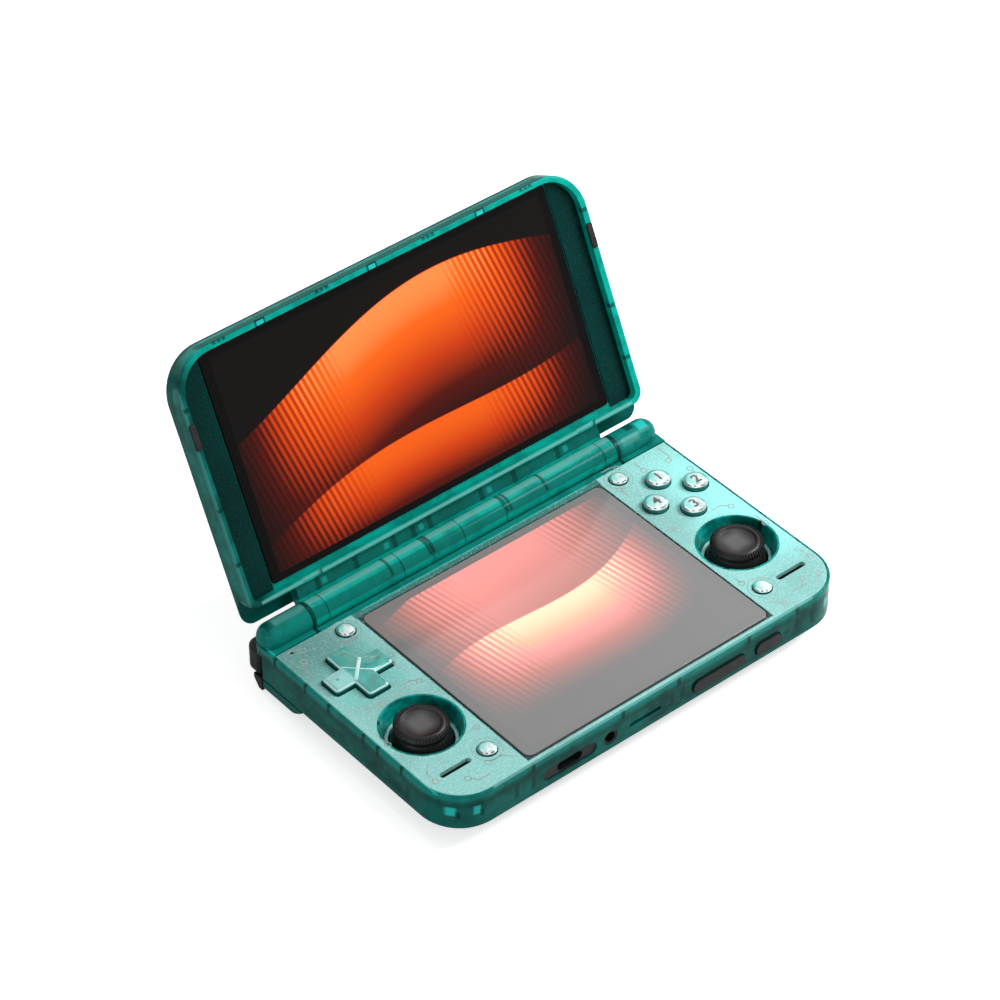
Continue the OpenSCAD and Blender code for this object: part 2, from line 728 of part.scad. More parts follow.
module small_button(side, back) {
    color([0.7, 0.95, 0.9]) at_deck() translate([side * small_x, -back, 0]) round_button(small_r, small_rise);
}
module small_button_rear_left() small_button(LEFT, small_near);
module small_button_rear_right() small_button(RIGHT, small_near);
module small_button_front_left() small_button(LEFT, small_far);
module small_button_front_right() small_button(RIGHT, small_far);

pivot_r = 1.3;
pivot_drop = membrane_top - pivot_r - 0.2;         // centre that the cross rocks on
cross_rise = 2;
cross_flange = 1;                                  // clearance of the cross's flange below the deck plate

// Four-way cross with bevelled arms, parting ridges and a socket for its pivot
module cross_button() {
    flange_top = -deck_t - cross_flange;
    color([0.1, 0.6, 0.5]) at_deck() translate([-pad_x, -pad_back, 0]) difference() {
        union() {
            translate([0, 0, flange_top - flange_t]) linear_extrude(flange_t)
                cross_outline(cross_len + 1.8, cross_w + 3, 1.6);
            translate([0, 0, flange_top - eps]) linear_extrude(cross_rise - 0.5 - flange_top + eps)
                cross_outline(cross_len, cross_w, 1.2);
            translate([0, 0, cross_rise - 0.5 - eps]) linear_extrude(0.5 + eps)
                cross_outline(cross_len - 1.2, cross_w - 1.2, 0.8);
            translate([0, 0, -pivot_drop + 0.4]) cylinder(r = 2.4, h = pivot_drop);
        }
        for (a = [45, 135]) rotate(a)
            translate([-6, -0.35, cross_rise - 0.35]) cube([12, 0.7, 1]);
        translate([0, 0, -pivot_drop]) sphere(r = pivot_r + 0.08);
    }
}

module cross_pivot() {
    color([0.6, 0.6, 0.62]) at_deck() translate([-pad_x, -pad_back, -pivot_drop]) sphere(r = pivot_r);
}

module cross_membrane() {
    color([0.3, 0.3, 0.32]) at_deck() translate([-pad_x, 0, -board_drop]) {
        translate([0, -pad_back, 0]) round_plate(19, 19, membrane_t, 3);
        for (spot = face_spots)
            translate([spot[0] * 6.6, -pad_back + spot[1] * 6.6, 0]) cylinder(r = 1.8, h = membrane_t + 1.2);
    }
}

button_low = deck_t + run_gap + flange_t + button_travel;    // lowest face of a pressed button

module face_membrane() {
    color([0.3, 0.3, 0.32]) at_deck() translate([0, 0, -board_drop]) {
        translate([pad_x, -pad_back, 0]) round_plate(22, 22, membrane_t, 5);
        for (spot = face_spots)
            translate([pad_x + spot[0] * face_pitch, -pad_back + spot[1] * face_pitch, 0])
                cylinder(r = 2.4, h = board_drop - button_low - run_gap);
        for (side = SIDES, back = [small_near, small_far])
            translate([side * small_x, -back, 0]) cylinder(r = 1.8, h = board_drop - button_low - run_gap);
    }
}

// ---------------------------------------------------------------- sticks

dome_r = 9.3;
dome_t = 0.8;
dome_low = 0.3;                                    // the skirt ends this far above the tilting centre
shaft_r = 1.5;
trunnion_r = 0.6;
fit_gap = 0.05;
cradle_w = 9;
cradle_h = 2.4;
yoke_w = 6;

module at_stick(side) at_deck() on_side(side) translate([stick_x, -stick_back, -stick_pivot]) children();

// Concave thumb cap on its domed skirt, with the shaft and its cross pin
module stick_cap(side) {
    top = stick_pivot + cap_rise;
    color([0.08, 0.08, 0.08]) at_stick(side) {
        difference() {
            union() {
                translate([0, 0, top - 3.1]) puck(cap_r, 3.1, 1.4, 0.7);
                difference() {
                    sphere(r = dome_r, $fn = 64);
                    sphere(r = dome_r - dome_t, $fn = 64);
                    translate([0, 0, dome_low - 2 * dome_r]) cylinder(r = 2 * dome_r, h = 2 * dome_r);
                    translate([0, 0, top - 2.4]) cylinder(r = dome_r, h = dome_r);
                }
            }
            translate([0, 0, top + 18.2]) sphere(r = 19, $fn = 96);
        }
        translate([0, 0, -0.9]) cylinder(r = shaft_r, h = top - 0.6);
        translate([-yoke_w / 2, 0, 0]) bar_x(trunnion_r, 0, yoke_w);
    }
}
module stick_cap_left() stick_cap(LEFT);
module stick_cap_right() stick_cap(RIGHT);

// Ring that tilts in the cradle and carries the stick's cross pin
module stick_yoke(side) {
    color([0.85, 0.85, 0.87]) at_stick(side) difference() {
        union() {
            translate([-yoke_w / 2, -yoke_w / 2, -0.9]) cube([yoke_w, yoke_w, 1.8]);
            rotate([0, 0, 90]) translate([-cradle_w / 2, 0, 0]) bar_x(trunnion_r, 0, cradle_w);
        }
        translate([-shaft_r - 0.6, -shaft_r - 0.9, -2]) cube([2 * shaft_r + 1.2, 2 * shaft_r + 1.8, 4]);
        translate([-yoke_w, 0, 0]) bar_x(trunnion_r + fit_gap, 0, 2 * yoke_w);
    }
}
module stick_yoke_left() stick_yoke(LEFT);
module stick_yoke_right() stick_yoke(RIGHT);

// Frame that goes down when the stick is clicked
module stick_cradle(side) {
    color([0.2, 0.2, 0.22]) at_stick(side) difference() {
        translate([-cradle_w / 2, -cradle_w / 2, -cradle_h / 2]) cube([cradle_w, cradle_w, cradle_h]);
        translate([-yoke_w / 2 - 0.45, -yoke_w / 2 - 0.45, -cradle_h])
            cube([yoke_w + 0.9, yoke_w + 0.9, 2 * cradle_h]);
        rotate([0, 0, 90]) translate([-cradle_w, 0, 0]) bar_x(trunnion_r + fit_gap, 0, 2 * cradle_w);
    }
}
module stick_cradle_left() stick_cradle(LEFT);
module stick_cradle_right() stick_cradle(RIGHT);

// Round case of the stick's mechanism, open at the top
module stick_module(side) {
    low = floor_drop - stick_pivot - seat_gap;
    top = cradle_h / 2;
    inner = cradle_w + 2 * run_gap;
    color([0.75, 0.76, 0.78]) at_stick(side) difference() {
        translate([0, 0, -low]) cylinder(r = module_r, h = low + top);
        translate([-inner / 2, -inner / 2, -low + 0.6]) cube([inner, inner, low + top]);
    }
}
module stick_module_left() stick_module(LEFT);
module stick_module_right() stick_module(RIGHT);

ring_r = 10.5;
ring_w = 1.1;
ring_t = 1;

// Cup round the stick
module stick_well(side) {
    color([0, 0.4, 0.34]) at_deck() on_side(side) translate([stick_x, -stick_back, 0]) difference() {
        translate([0, 0, -well_depth - ring_t]) {
            cylinder(r = well_r - 0.3, h = well_depth + ring_t - deck_t);
            cylinder(r = well_r, h = well_depth + ring_t);
        }
        translate([0, 0, -well_depth]) cylinder(r1 = ring_r + 0.3, r2 = well_r - 0.5, h = well_depth + eps);
        translate([0, 0, -well_depth - 2]) cylinder(r = ring_r + 0.05, h = 3);
    }
}
module stick_well_left() stick_well(LEFT);
module stick_well_right() stick_well(RIGHT);

// Clear ring at the bottom of the well
module light_ring(side) {
    color([0.7, 1, 0.95]) at_deck() on_side(side) translate([stick_x, -stick_back, -well_depth - ring_t]) difference() {
        puck(ring_r, ring_t + 0.1, 0, 0.3);
        translate([0, 0, -eps]) cylinder(r = ring_r - ring_w + 0.1, h = ring_t + 1);
    }
}
module light_ring_left() light_ring(LEFT);
module light_ring_right() light_ring(RIGHT);

// ---------------------------------------------------------------- rear buttons

shoulder_pin_r = 0.8;
shoulder_pin_x = notch_x + 2.6;
shoulder_front = -0.9;                             // its front face lies this far in front of the axis
shoulder_low = notch_top + run_gap + shoulder_h;
shoulder_pin_y = 3.4;

// Long button behind the knuckle that swings on an upright pin at its inner end
module shoulder(side) {
    w = body_w / 2 - notch_x - 2 * run_gap;
    d = shoulder_out + shoulder_front;
    color([0.1, 0.1, 0.1]) at_deck() on_side(side) difference() {
        translate([notch_x + run_gap + w / 2, (shoulder_out - shoulder_front) / 2, -shoulder_low])
            soft_plate(w, d, shoulder_h, 1.6, 3.6, 1, 1);
        translate([shoulder_pin_x, shoulder_pin_y, -shoulder_low - 1])
            cylinder(r = shoulder_pin_r + fit_gap, h = shoulder_h + 2);
    }
}
module shoulder_left() shoulder(LEFT);
module shoulder_right() shoulder(RIGHT);

trigger_top = shoulder_low + 2 * run_gap;
trigger_low = base_h + stand_off - grip_bottom;
trigger_pin_y = 1.5;
trigger_pin_drop = trigger_top + 1.5;
trigger_rear = barrel_r - 0.6;

// Line of the trigger's pin
module trigger_pin_bore(r) translate([0, trigger_pin_y, -trigger_pin_drop]) bar_x(r, notch_x - 2, body_w / 2 - 2);

// Trigger below the shoulder button that swings on a pin along the hinge direction
module trigger(side) {
    w = body_w / 2 - notch_x - 2 * run_gap;
    color([0.08, 0.08, 0.08]) at_deck() on_side(side) difference() {
        translate([notch_x + run_gap, 0, 0]) rotate([90, 0, 90]) linear_extrude(w)
            polygon([
                [-notch_front + 1, -trigger_top], [trigger_rear, -trigger_top],
                [trigger_rear, -trigger_top - 1.5], [1.6, -trigger_low], [-notch_front + 1, -trigger_low]
            ]);
        trigger_pin_bore(shoulder_pin_r + fit_gap);
    }
}
module trigger_left() trigger(LEFT);
module trigger_right() trigger(RIGHT);

// Upright pins of the shoulder buttons and lying pins of the triggers
module shoulder_pins() {
    color([0.75, 0.75, 0.78]) at_deck() for (side = SIDES) on_side(side) {
        translate([shoulder_pin_x, shoulder_pin_y, -shoulder_low])
            cylinder(r = shoulder_pin_r, h = shoulder_low - notch_top + 1.4);
        intersection() {
            trigger_pin_bore(shoulder_pin_r);
            translate([0, -5, -2 * base_h]) cube([body_w / 2 - 2.1, 10, 2 * base_h]);
        }
    }
}

// ---------------------------------------------------------------- hinge

module hinge_pin(side) {
    color([0.8, 0.8, 0.82]) translate([0, hinge_y, hinge_z]) on_side(side)
        bar_x(pin_r, knuckle_x - pin_reach, knuckle_x + pin_reach - 0.3);
}
module hinge_pin_left() hinge_pin(LEFT);
module hinge_pin_right() hinge_pin(RIGHT);

// ---------------------------------------------------------------- lid

lid_reach = base_reach;
rim_z = hinge_rise - closed_gap;                   // the rim's plane, out of the screen from the axis
back_z = rim_z - lid_h;
lid_len = lid_reach - lid_start;
lid_mid = (lid_reach + lid_start) / 2;
screen_z = rim_z - rim_depth;
lid_seam_z = back_z + 3.4;
apron_z = -1.8;                                    // front face of the strip between rim and barrel
barrel_half = knuckle_x - hinge_gap / 2;
apron_low = 3.6;

// Solid outline of the lid between two heights above the axis plane, far corners round
module lid_block(z0, z1, inset = 0, low_r = 0, top_r = 0, start = lid_start) {
    translate([0, (lid_reach + start) / 2, z0])
        soft_plate(body_w - 2 * inset, lid_reach - start - 2 * inset, z1 - z0,
            lid_low_r - min(inset, lid_low_r - 0.5), corner_r - inset, low_r, top_r);
}

ribbon_r = 2.6;                                    // radius of the ribbon's passage through the barrel
ribbon_w = 28;
ribbon_t = 0.3;
ribbon_z = screen_z - 2 * glass_t - 0.1 - ribbon_t;    // the ribbon's lower face where it leaves the barrel
scallop = 0.7;                                       // depth of the rim's hollows over the rear small buttons
groove_places = [-52.7, -25, -14, -2, 14, 52.7];

// Front frame of the lid with the rim, the apron and the hinge barrel
module lid_frame() {
    well_near = lid_start + rim_end;
    well_far = lid_reach - rim_end;
    color([0, 0.6, 0.52]) on_lid() difference() {
        union() {
            difference() {
                lid_block(lid_seam_z, rim_z, 0, 0, 0.7);
                translate([0, lid_mid, lid_seam_z - eps])
                    soft_plate(body_w - 2 * wall, lid_len - 2 * wall, screen_z - 2 * glass_t - lid_seam_z + eps,
                        lid_low_r - wall, corner_r - wall);
                translate([0, lid_mid, screen_z - 0.5])
                    soft_plate(body_w - 2 * rim_side, well_far - well_near, lid_h,
                        lid_low_r - 1.6, corner_r - rim_side);
                translate([0, upper_start + upper_h / 2, screen_z - glass_t - 0.05])
                    round_plate(upper_w + 0.4, upper_h + 0.4, lid_h, 1.4);
                translate([0, upper_start + upper_h / 2, lid_seam_z])
                    round_plate(upper_w - 2 * panel_inset + 0.4, upper_h - 2 * panel_inset + 0.4, lid_h, 1.2);
                for (side = SIDES) translate([side * small_x, small_near, rim_z - scallop])
                    cylinder(r = small_r + 0.9, h = lid_h);
            }
            translate([-barrel_half, 0, 0]) rotate([90, 0, 90]) linear_extrude(2 * barrel_half)
                polygon([
                    [lid_start + 1, apron_z], [sqrt(barrel_r * barrel_r - apron_z * apron_z), apron_z],
                    [0, -barrel_r], [apron_low, lid_seam_z - 1.4], [lid_start + 1, lid_seam_z - 1.4]
                ]);
            bar_x(barrel_r, -barrel_half, barrel_half);
        }
        for (side = SIDES) on_side(side) {
            bar_x(pin_r + fit_gap, knuckle_x - pin_reach - 0.5, knuckle_x + 1);
            translate([body_w / 2 - 1.5, lid_start + 54.5, rim_z - 0.3]) round_plate(2.1, 8.1, 1, 0.95);
            translate([body_w / 2 - 6.5, lid_start - 1, -2.7]) cube([3.2, 1.5, 2.2]);
        }
        bar_x(ribbon_r, -knuckle_x + pin_reach + 3, knuckle_x - pin_reach - 3);
        translate([-ribbon_w / 2 - 1, ribbon_r - 2, ribbon_z - 0.4])
            cube([ribbon_w + 2, lid_start + wall + 3 - ribbon_r, 2]);
        for (x = groove_places) translate([x, 0, 0]) difference() {
            bar_x(barrel_r + 1, -0.15, 0.15);
            bar_x(barrel_r - 0.2, -0.2, 0.2);
            translate([-1, -0.5, -10]) cube([2, 12, 10 + apron_z + 1]);
        }
    }
}

// Back of the lid, which reaches down behind the hinge
module lid_back_cover() {
    color([0, 0.5, 0.43]) on_lid() difference() {
        lid_block(back_z, lid_seam_z - 0.02, 0, lid_edge_r, 0, apron_low);
        lid_block(back_z + back_t, lid_seam_z + 1, wall, 0, 0);
        translate([-body_w, 0, lid_seam_z - 1.5]) cube([2 * body_w, lid_start + wall + eps, 4]);
    }
}

module upper_glass() {
    color([0.05, 0.05, 0.06]) on_lid() translate([0, upper_start + upper_h / 2, screen_z - glass_t])
        soft_plate(upper_w, upper_h, glass_t, 1.2, 1.2, 0, 0.15);
}

module upper_display() {
    color([0.2, 0.2, 0.22]) on_lid()
        translate([0, upper_start + upper_h / 2, screen_z - glass_t - seat_gap - panel_t])
            round_plate(upper_w - 2 * panel_inset, upper_h - 2 * panel_inset, panel_t, 1);
}

module lid_side_trims() {
    inner = upper_w / 2 + 0.5;
    outer = body_w / 2 - rim_side - 0.2;
    color([0.05, 0.2, 0.18]) on_lid() for (side = SIDES) on_side(side)
        intersection() {
            translate([0, lid_mid, screen_z - 0.5])
                soft_plate(2 * outer, lid_len - 2 * rim_end - 0.4, 0.4, lid_low_r - 1.8, corner_r - rim_side - 0.2);
            translate([inner, 0, -lid_h]) cube([outer - inner, lid_reach, 2 * lid_h]);
        }
}

module lid_bumpers() {
    color([0.06, 0.06, 0.06]) on_lid() for (side = SIDES) on_side(side) {
        translate([body_w / 2 - 1.5, lid_start + 54.5, rim_z - 0.3]) soft_plate(2, 8, 0.8, 0.9, 0.9, 0, 0.3);
        translate([body_w / 2 - 6.4, lid_start - 0.25, -2.6]) cube([3, 0.7, 2]);
    }
}

module lid_magnets() {
    color([0.7, 0.7, 0.72]) on_lid() for (side = SIDES) on_side(side)
        translate([body_w / 2 - 7, lid_reach - 14, back_z + back_t + 0.1]) cylinder(r = 3, h = 1.6);
}

// Ribbon that runs out of the barrel and down to the lid's back
module lid_flex() {
    turn = lid_start + wall + 1.8;
    low = back_z + back_t + seat_gap;
    color([0.6, 0.35, 0.1]) on_lid() translate([-ribbon_w / 2, 0, 0]) {
        translate([0, ribbon_r - 0.8, ribbon_z]) cube([ribbon_w, turn - ribbon_r + 0.8 + ribbon_t, ribbon_t]);
        translate([0, turn, low]) cube([ribbon_w, ribbon_t, ribbon_z + ribbon_t - low]);
        translate([0, turn, low]) cube([ribbon_w, 30, ribbon_t]);
    }
}

base_frame();
deck_plate();
bottom_cover();
lower_glass();
lower_display();
screen_tray();
main_board();
battery();
fan_housing();
fan_rotor();
heat_spreader();
speaker_left();
speaker_right();
usb_port();
headphone_jack();
card_reader();
volume_rocker();
power_button();
cross_button();
cross_pivot();
cross_membrane();
face_membrane();
face_button_rear();
face_button_right();
face_button_left();
face_button_front();
small_button_rear_left();
small_button_rear_right();
small_button_front_left();
small_button_front_right();
stick_cap_left();
stick_cap_right();
stick_yoke_left();
stick_yoke_right();
stick_cradle_left();
stick_cradle_right();
stick_module_left();
stick_module_right();
stick_well_left();
stick_well_right();
light_ring_left();
light_ring_right();
shoulder_left();
shoulder_right();
trigger_left();
trigger_right();
shoulder_pins();
hinge_pin_left();
hinge_pin_right();
rubber_feet();
base_screws();
lid_frame();
lid_back_cover();
upper_glass();
upper_display();
lid_side_trims();
lid_bumpers();
lid_magnets();
lid_flex();
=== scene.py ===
"""Clamshell handheld game console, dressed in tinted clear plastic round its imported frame."""

import json
import logging
import math
from contextlib import contextmanager
from dataclasses import dataclass, field, replace
from enum import Enum
from typing import Callable, Iterator

import bmesh
import bpy
from mathutils import Matrix, Vector


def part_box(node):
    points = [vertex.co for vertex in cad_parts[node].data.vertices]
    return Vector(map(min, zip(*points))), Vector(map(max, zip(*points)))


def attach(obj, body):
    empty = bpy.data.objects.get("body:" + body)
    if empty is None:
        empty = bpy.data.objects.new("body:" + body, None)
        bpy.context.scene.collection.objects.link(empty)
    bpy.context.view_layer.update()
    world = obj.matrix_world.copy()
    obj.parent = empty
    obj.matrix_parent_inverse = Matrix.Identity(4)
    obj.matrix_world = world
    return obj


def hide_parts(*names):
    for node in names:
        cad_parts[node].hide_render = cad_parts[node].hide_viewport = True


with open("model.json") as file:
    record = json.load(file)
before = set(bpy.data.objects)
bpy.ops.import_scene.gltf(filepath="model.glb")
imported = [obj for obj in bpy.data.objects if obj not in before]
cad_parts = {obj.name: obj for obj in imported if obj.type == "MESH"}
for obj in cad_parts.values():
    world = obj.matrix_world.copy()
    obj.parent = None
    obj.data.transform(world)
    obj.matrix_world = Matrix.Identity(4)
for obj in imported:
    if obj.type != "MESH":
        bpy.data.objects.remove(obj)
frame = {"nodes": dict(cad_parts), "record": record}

LOG = logging.getLogger("console")
MM = 0.001
Colour = tuple[float, float, float]
Point = tuple[float, float, float]
Spot = tuple[float, float]
Material = bpy.types.Material
Piece = bpy.types.Object
Output = bpy.types.NodeSocket
Socket = Output | float


class Side(Enum):
    """Left or right half of the console, seen by the player."""

    LEFT = -1
    RIGHT = 1

    @property
    def word(self) -> str:
        """The side's word in the names of nodes and bodies."""
        return self.name.lower()


# Node sketches


class Sketch:
    """Adds nodes to a tree and links them as they are made."""

    def __init__(self, tree: bpy.types.NodeTree) -> None:
        """Takes the tree that the nodes go into."""
        self.tree = tree

    def add(self, kind: str, **props: object) -> bpy.types.Node:
        """Adds one node.

        Args:
            kind: Blender's name of the node's class.
            **props: properties to set on it.

        Returns:
            The new node.
        """
        node = self.tree.nodes.new(kind)
        for name, value in props.items():
            setattr(node, name, value)
        return node

    def put(self, socket: Output, value: object) -> None:
        """Links a socket to another one, or sets its value."""
        if isinstance(value, Output):
            self.tree.links.new(value, socket)
        else:
            socket.default_value = value

    def math(self, operation: str, *values: Socket) -> Output:
        """Adds a Math node.

        Args:
            operation: the sum to do, such as SINE.
            *values: as many values as the sum takes.

        Returns:
            The result.
        """
        node = self.add("ShaderNodeMath", operation=operation)
        for socket, value in zip(node.inputs, values):
            self.put(socket, value)
        return node.outputs[0]

    def plus(self, a: Socket, b: Socket) -> Output:
        """Returns the sum of two values."""
        return self.math("ADD", a, b)

    def minus(self, a: Socket, b: Socket) -> Output:
        """Returns the first value less the second."""
        return self.math("SUBTRACT", a, b)

    def times(self, a: Socket, b: Socket) -> Output:
        """Returns the product of two values."""
        return self.math("MULTIPLY", a, b)

    def size(self, value: Socket) -> Output:
        """Returns a value without its sign."""
        return self.math("ABSOLUTE", value)

    def span(self, value: Socket, low: float, high: float, to_low: float = 0.0, to_high: float = 1.0,
             smooth: bool = True) -> Output:
        """Maps a value from one range to another.

        Args:
            value: what to map.
            low: start of the first range.
            high: end of the first range.
            to_low: start of the second range.
            to_high: end of the second range.
            smooth: eases in and out.

        Returns:
            The mapped value.
        """
        node = self.add("ShaderNodeMapRange", interpolation_type="SMOOTHSTEP" if smooth else "LINEAR")
        for socket, item in zip(node.inputs, (value, low, high, to_low, to_high)):
            self.put(socket, item)
        return node.outputs[0]

    def place(self) -> Output:
        """Returns the place on the piece, in metres."""
        return self.add("ShaderNodeTexCoord").outputs["Object"]

    def measures(self, origin: Point, ways: tuple[Point, ...]) -> list[Output]:
        """Measures how far a place on the piece lies from an origin.

        Args:
            origin: where the measures start.
            ways: directions of the measures.

        Returns:
            One measure for each direction, in metres.
        """
        place = self.place()
        found = []
        for way in ways:
            node = self.add("ShaderNodeVectorMath", operation="DOT_PRODUCT")
            self.put(node.inputs[0], place)
            self.put(node.inputs[1], way)
            found.append(self.minus(node.outputs["Value"], sum(a * b for a, b in zip(way, origin))))
        return found

    def blend(self, mask: Socket, a: object, b: object) -> Output:
        """Mixes two colours.

        Args:
            mask: share of the second colour.
            a: first colour.
            b: second colour.

        Returns:
            The mixed colour.
        """
        node = self.add("ShaderNodeMix", data_type="RGBA")
        self.put(node.inputs["Factor"], mask)
        self.put(node.inputs[6], (*a, 1.0) if isinstance(a, tuple) else a)
        self.put(node.inputs[7], (*b, 1.0) if isinstance(b, tuple) else b)
        return node.outputs[2]

    def ramp(self, value: Socket, stops: tuple[tuple[float, Colour], ...]) -> Output:
        """Colours a value by a row of stops.

        Args:
            value: place on the row, from 0 to 1.
            stops: places and colours, in order.

        Returns:
            The colour.
        """
        node = self.add("ShaderNodeValToRGB")
        marks = node.color_ramp.elements
        for i, (at, colour) in enumerate(stops):
            mark = marks[i] if i < len(marks) else marks.new(at)
            mark.position = at
            mark.color = (*colour, 1.0)
        self.put(node.inputs[0], value)
        return node.outputs[0]

    def noise(self, scale: Socket, detail: float) -> Output:
        """Returns noise over the piece, from its scale and its number of finer layers."""
        node = self.add("ShaderNodeTexNoise")
        self.put(node.inputs["Vector"], self.place())
        self.put(node.inputs["Scale"], scale)
        self.put(node.inputs["Detail"], detail)
        return node.outputs[0]


def mottle(s: Sketch, i: dict[str, Output]) -> Output:
    """Soft clouds, as thick and thin places give clear plastic."""
    return s.span(s.noise(i["Scale"], 3.0), 0.36, 0.66)


def grain(s: Sketch, i: dict[str, Output]) -> Output:
    """Fine even grain of a spark-eroded mould."""
    return s.noise(i["Scale"], 2.0)


def sparkle(s: Sketch, i: dict[str, Output]) -> Output:
    """Scattered bright points."""
    cells = s.add("ShaderNodeTexVoronoi", feature="F1")
    s.put(cells.inputs["Vector"], s.place())
    s.put(cells.inputs["Scale"], i["Scale"])
    chance = s.add("ShaderNodeSeparateColor")
    s.put(chance.inputs[0], cells.outputs["Color"])
    picked = s.math("GREATER_THAN", chance.outputs[0], s.minus(1.0, i["Share"]))
    return s.times(picked, s.span(cells.outputs["Distance"], 0.45, 0.1))


class Effect(Enum):
    """Effects that several finishes share, each a node group that puts out a mask."""

    MOTTLE = ("Mottle", {"Scale": 60.0}, mottle)
    GRAIN = ("Grain", {"Scale": 4000.0}, grain)
    SPARKLE = ("Sparkle", {"Scale": 1800.0, "Share": 0.2}, sparkle)

    def group(self) -> bpy.types.NodeTree:
        """Returns the effect's node group, made at its first use."""
        name, inputs, build = self.value
        group = bpy.data.node_groups.get(name)
        if group is not None:
            return group
        group = bpy.data.node_groups.new(name, "ShaderNodeTree")
        for label, value in inputs.items():
            socket = group.interface.new_socket(label, in_out="INPUT", socket_type="NodeSocketFloat")
            socket.default_value = value
        group.interface.new_socket("Mask", in_out="OUTPUT", socket_type="NodeSocketFloat")
        sketch = Sketch(group)
        entry = sketch.add("NodeGroupInput")
        mask = build(sketch, {label: entry.outputs[label] for label in inputs})
        sketch.put(sketch.add("NodeGroupOutput").inputs["Mask"], mask)
        return group

    def mask(self, sketch: Sketch, **values: float) -> Output:
        """Places the effect in a material.

        Args:
            sketch: the material's tree.
            **values: the inputs that differ from the usual values.

        Returns:
            The mask.
        """
        node = sketch.add("ShaderNodeGroup", node_tree=self.group())
        for label, value in values.items():
            sketch.put(node.inputs[label], value)
        return node.outputs["Mask"]


# Finishes


def shade(colour: Colour, by: float) -> Colour:
    """Returns a colour made darker or lighter."""
    return tuple(min(1.0, part * by) for part in colour)


@dataclass(frozen=True)
class Mark:
    """A soft-edged box of colour in a piece, for a part inside that shows through its surface and for painted
    light and shade.

    Attributes:
        centre: its middle in millimetres.
        half: half of its three lengths in millimetres, None where it has no end.
        tone: its colour.
        soft: width of its blurred border in millimetres.
        share: how strongly it shows.
    """

    centre: Point
    half: tuple[float | None, float | None, float | None]
    tone: Colour = (0.001, 0.020, 0.017)
    soft: float = 0.4
    share: float = 0.85

    def lay(self, s: Sketch, axes: list[Output], under: Output) -> Output:
        """Lays the box over a colour.

        Args:
            s: the material's tree.
            axes: the three measures of the place, in metres.
            under: the colour under it.

        Returns:
            The new colour.
        """
        mask: Socket = self.share
        for value, middle, half in zip(axes, self.centre, self.half):
            if half is None:
                continue
            off = s.size(s.minus(value, middle * MM))
            mask = s.times(mask, s.span(off, half * MM, (half + self.soft) * MM, 1.0, 0.0))
        return s.blend(mask, under, self.tone)


@dataclass(frozen=True)
class Arc:
    """A soft painted arc in a clear dome: a highlight, or a dark reflection.

    Attributes:
        centre: the dome's middle in millimetres.
        radius: its radius in millimetres.
        width: half of its width in millimetres.
        facing: direction of its middle, in degrees from the first measure.
        reach: cosine of half of its angle.
        tone: its colour.
        share: how strongly it shows.
    """

    centre: Spot
    radius: float
    width: float
    facing: float
    reach: float
    tone: Colour
    share: float = 0.85

    def lay(self, s: Sketch, axes: list[Output], under: Output) -> Output:
        """Lays the arc over a colour.

        Args:
            s: the material's tree.
            axes: the three measures of the place, in metres.
            under: the colour under it.

        Returns:
            The new colour.
        """
        x, y = (s.minus(value, middle * MM) for value, middle in zip(axes, self.centre))
        far = s.math("SQRT", s.plus(s.times(x, x), s.times(y, y)))
        gap = s.size(s.minus(far, self.radius * MM))
        mask = s.times(s.span(gap, self.width * 0.35 * MM, self.width * MM, 1.0, 0.0), self.share)
        turn = math.radians(self.facing)
        along = s.plus(s.times(x, math.cos(turn)), s.times(y, math.sin(turn)))
        cosine = s.math("DIVIDE", along, s.math("MAXIMUM", far, 0.01 * MM))
        mask = s.times(mask, s.span(cosine, self.reach, min(1.0, self.reach + 0.2)))
        return s.blend(mask, under, self.tone)


@dataclass(frozen=True)
class Marks:
    """Marks of one piece and the measures that they are given in.

    Attributes:
        items: the marks, in the order they are laid.
        origin: where the measures start.
        ways: directions of the three measures.
    """

    items: tuple[Mark | Arc, ...] = ()
    origin: Point = (0.0, 0.0, 0.0)
    ways: tuple[Point, Point, Point] = ((1.0, 0.0, 0.0), (0.0, 1.0, 0.0), (0.0, 0.0, 1.0))

    def lay(self, s: Sketch, under: Output) -> Output:
        """Lays every mark over a colour and returns the new colour."""
        if self.items:
            axes = s.measures(self.origin, self.ways)
            for mark in self.items:
                under = mark.lay(s, axes, under)
        return under


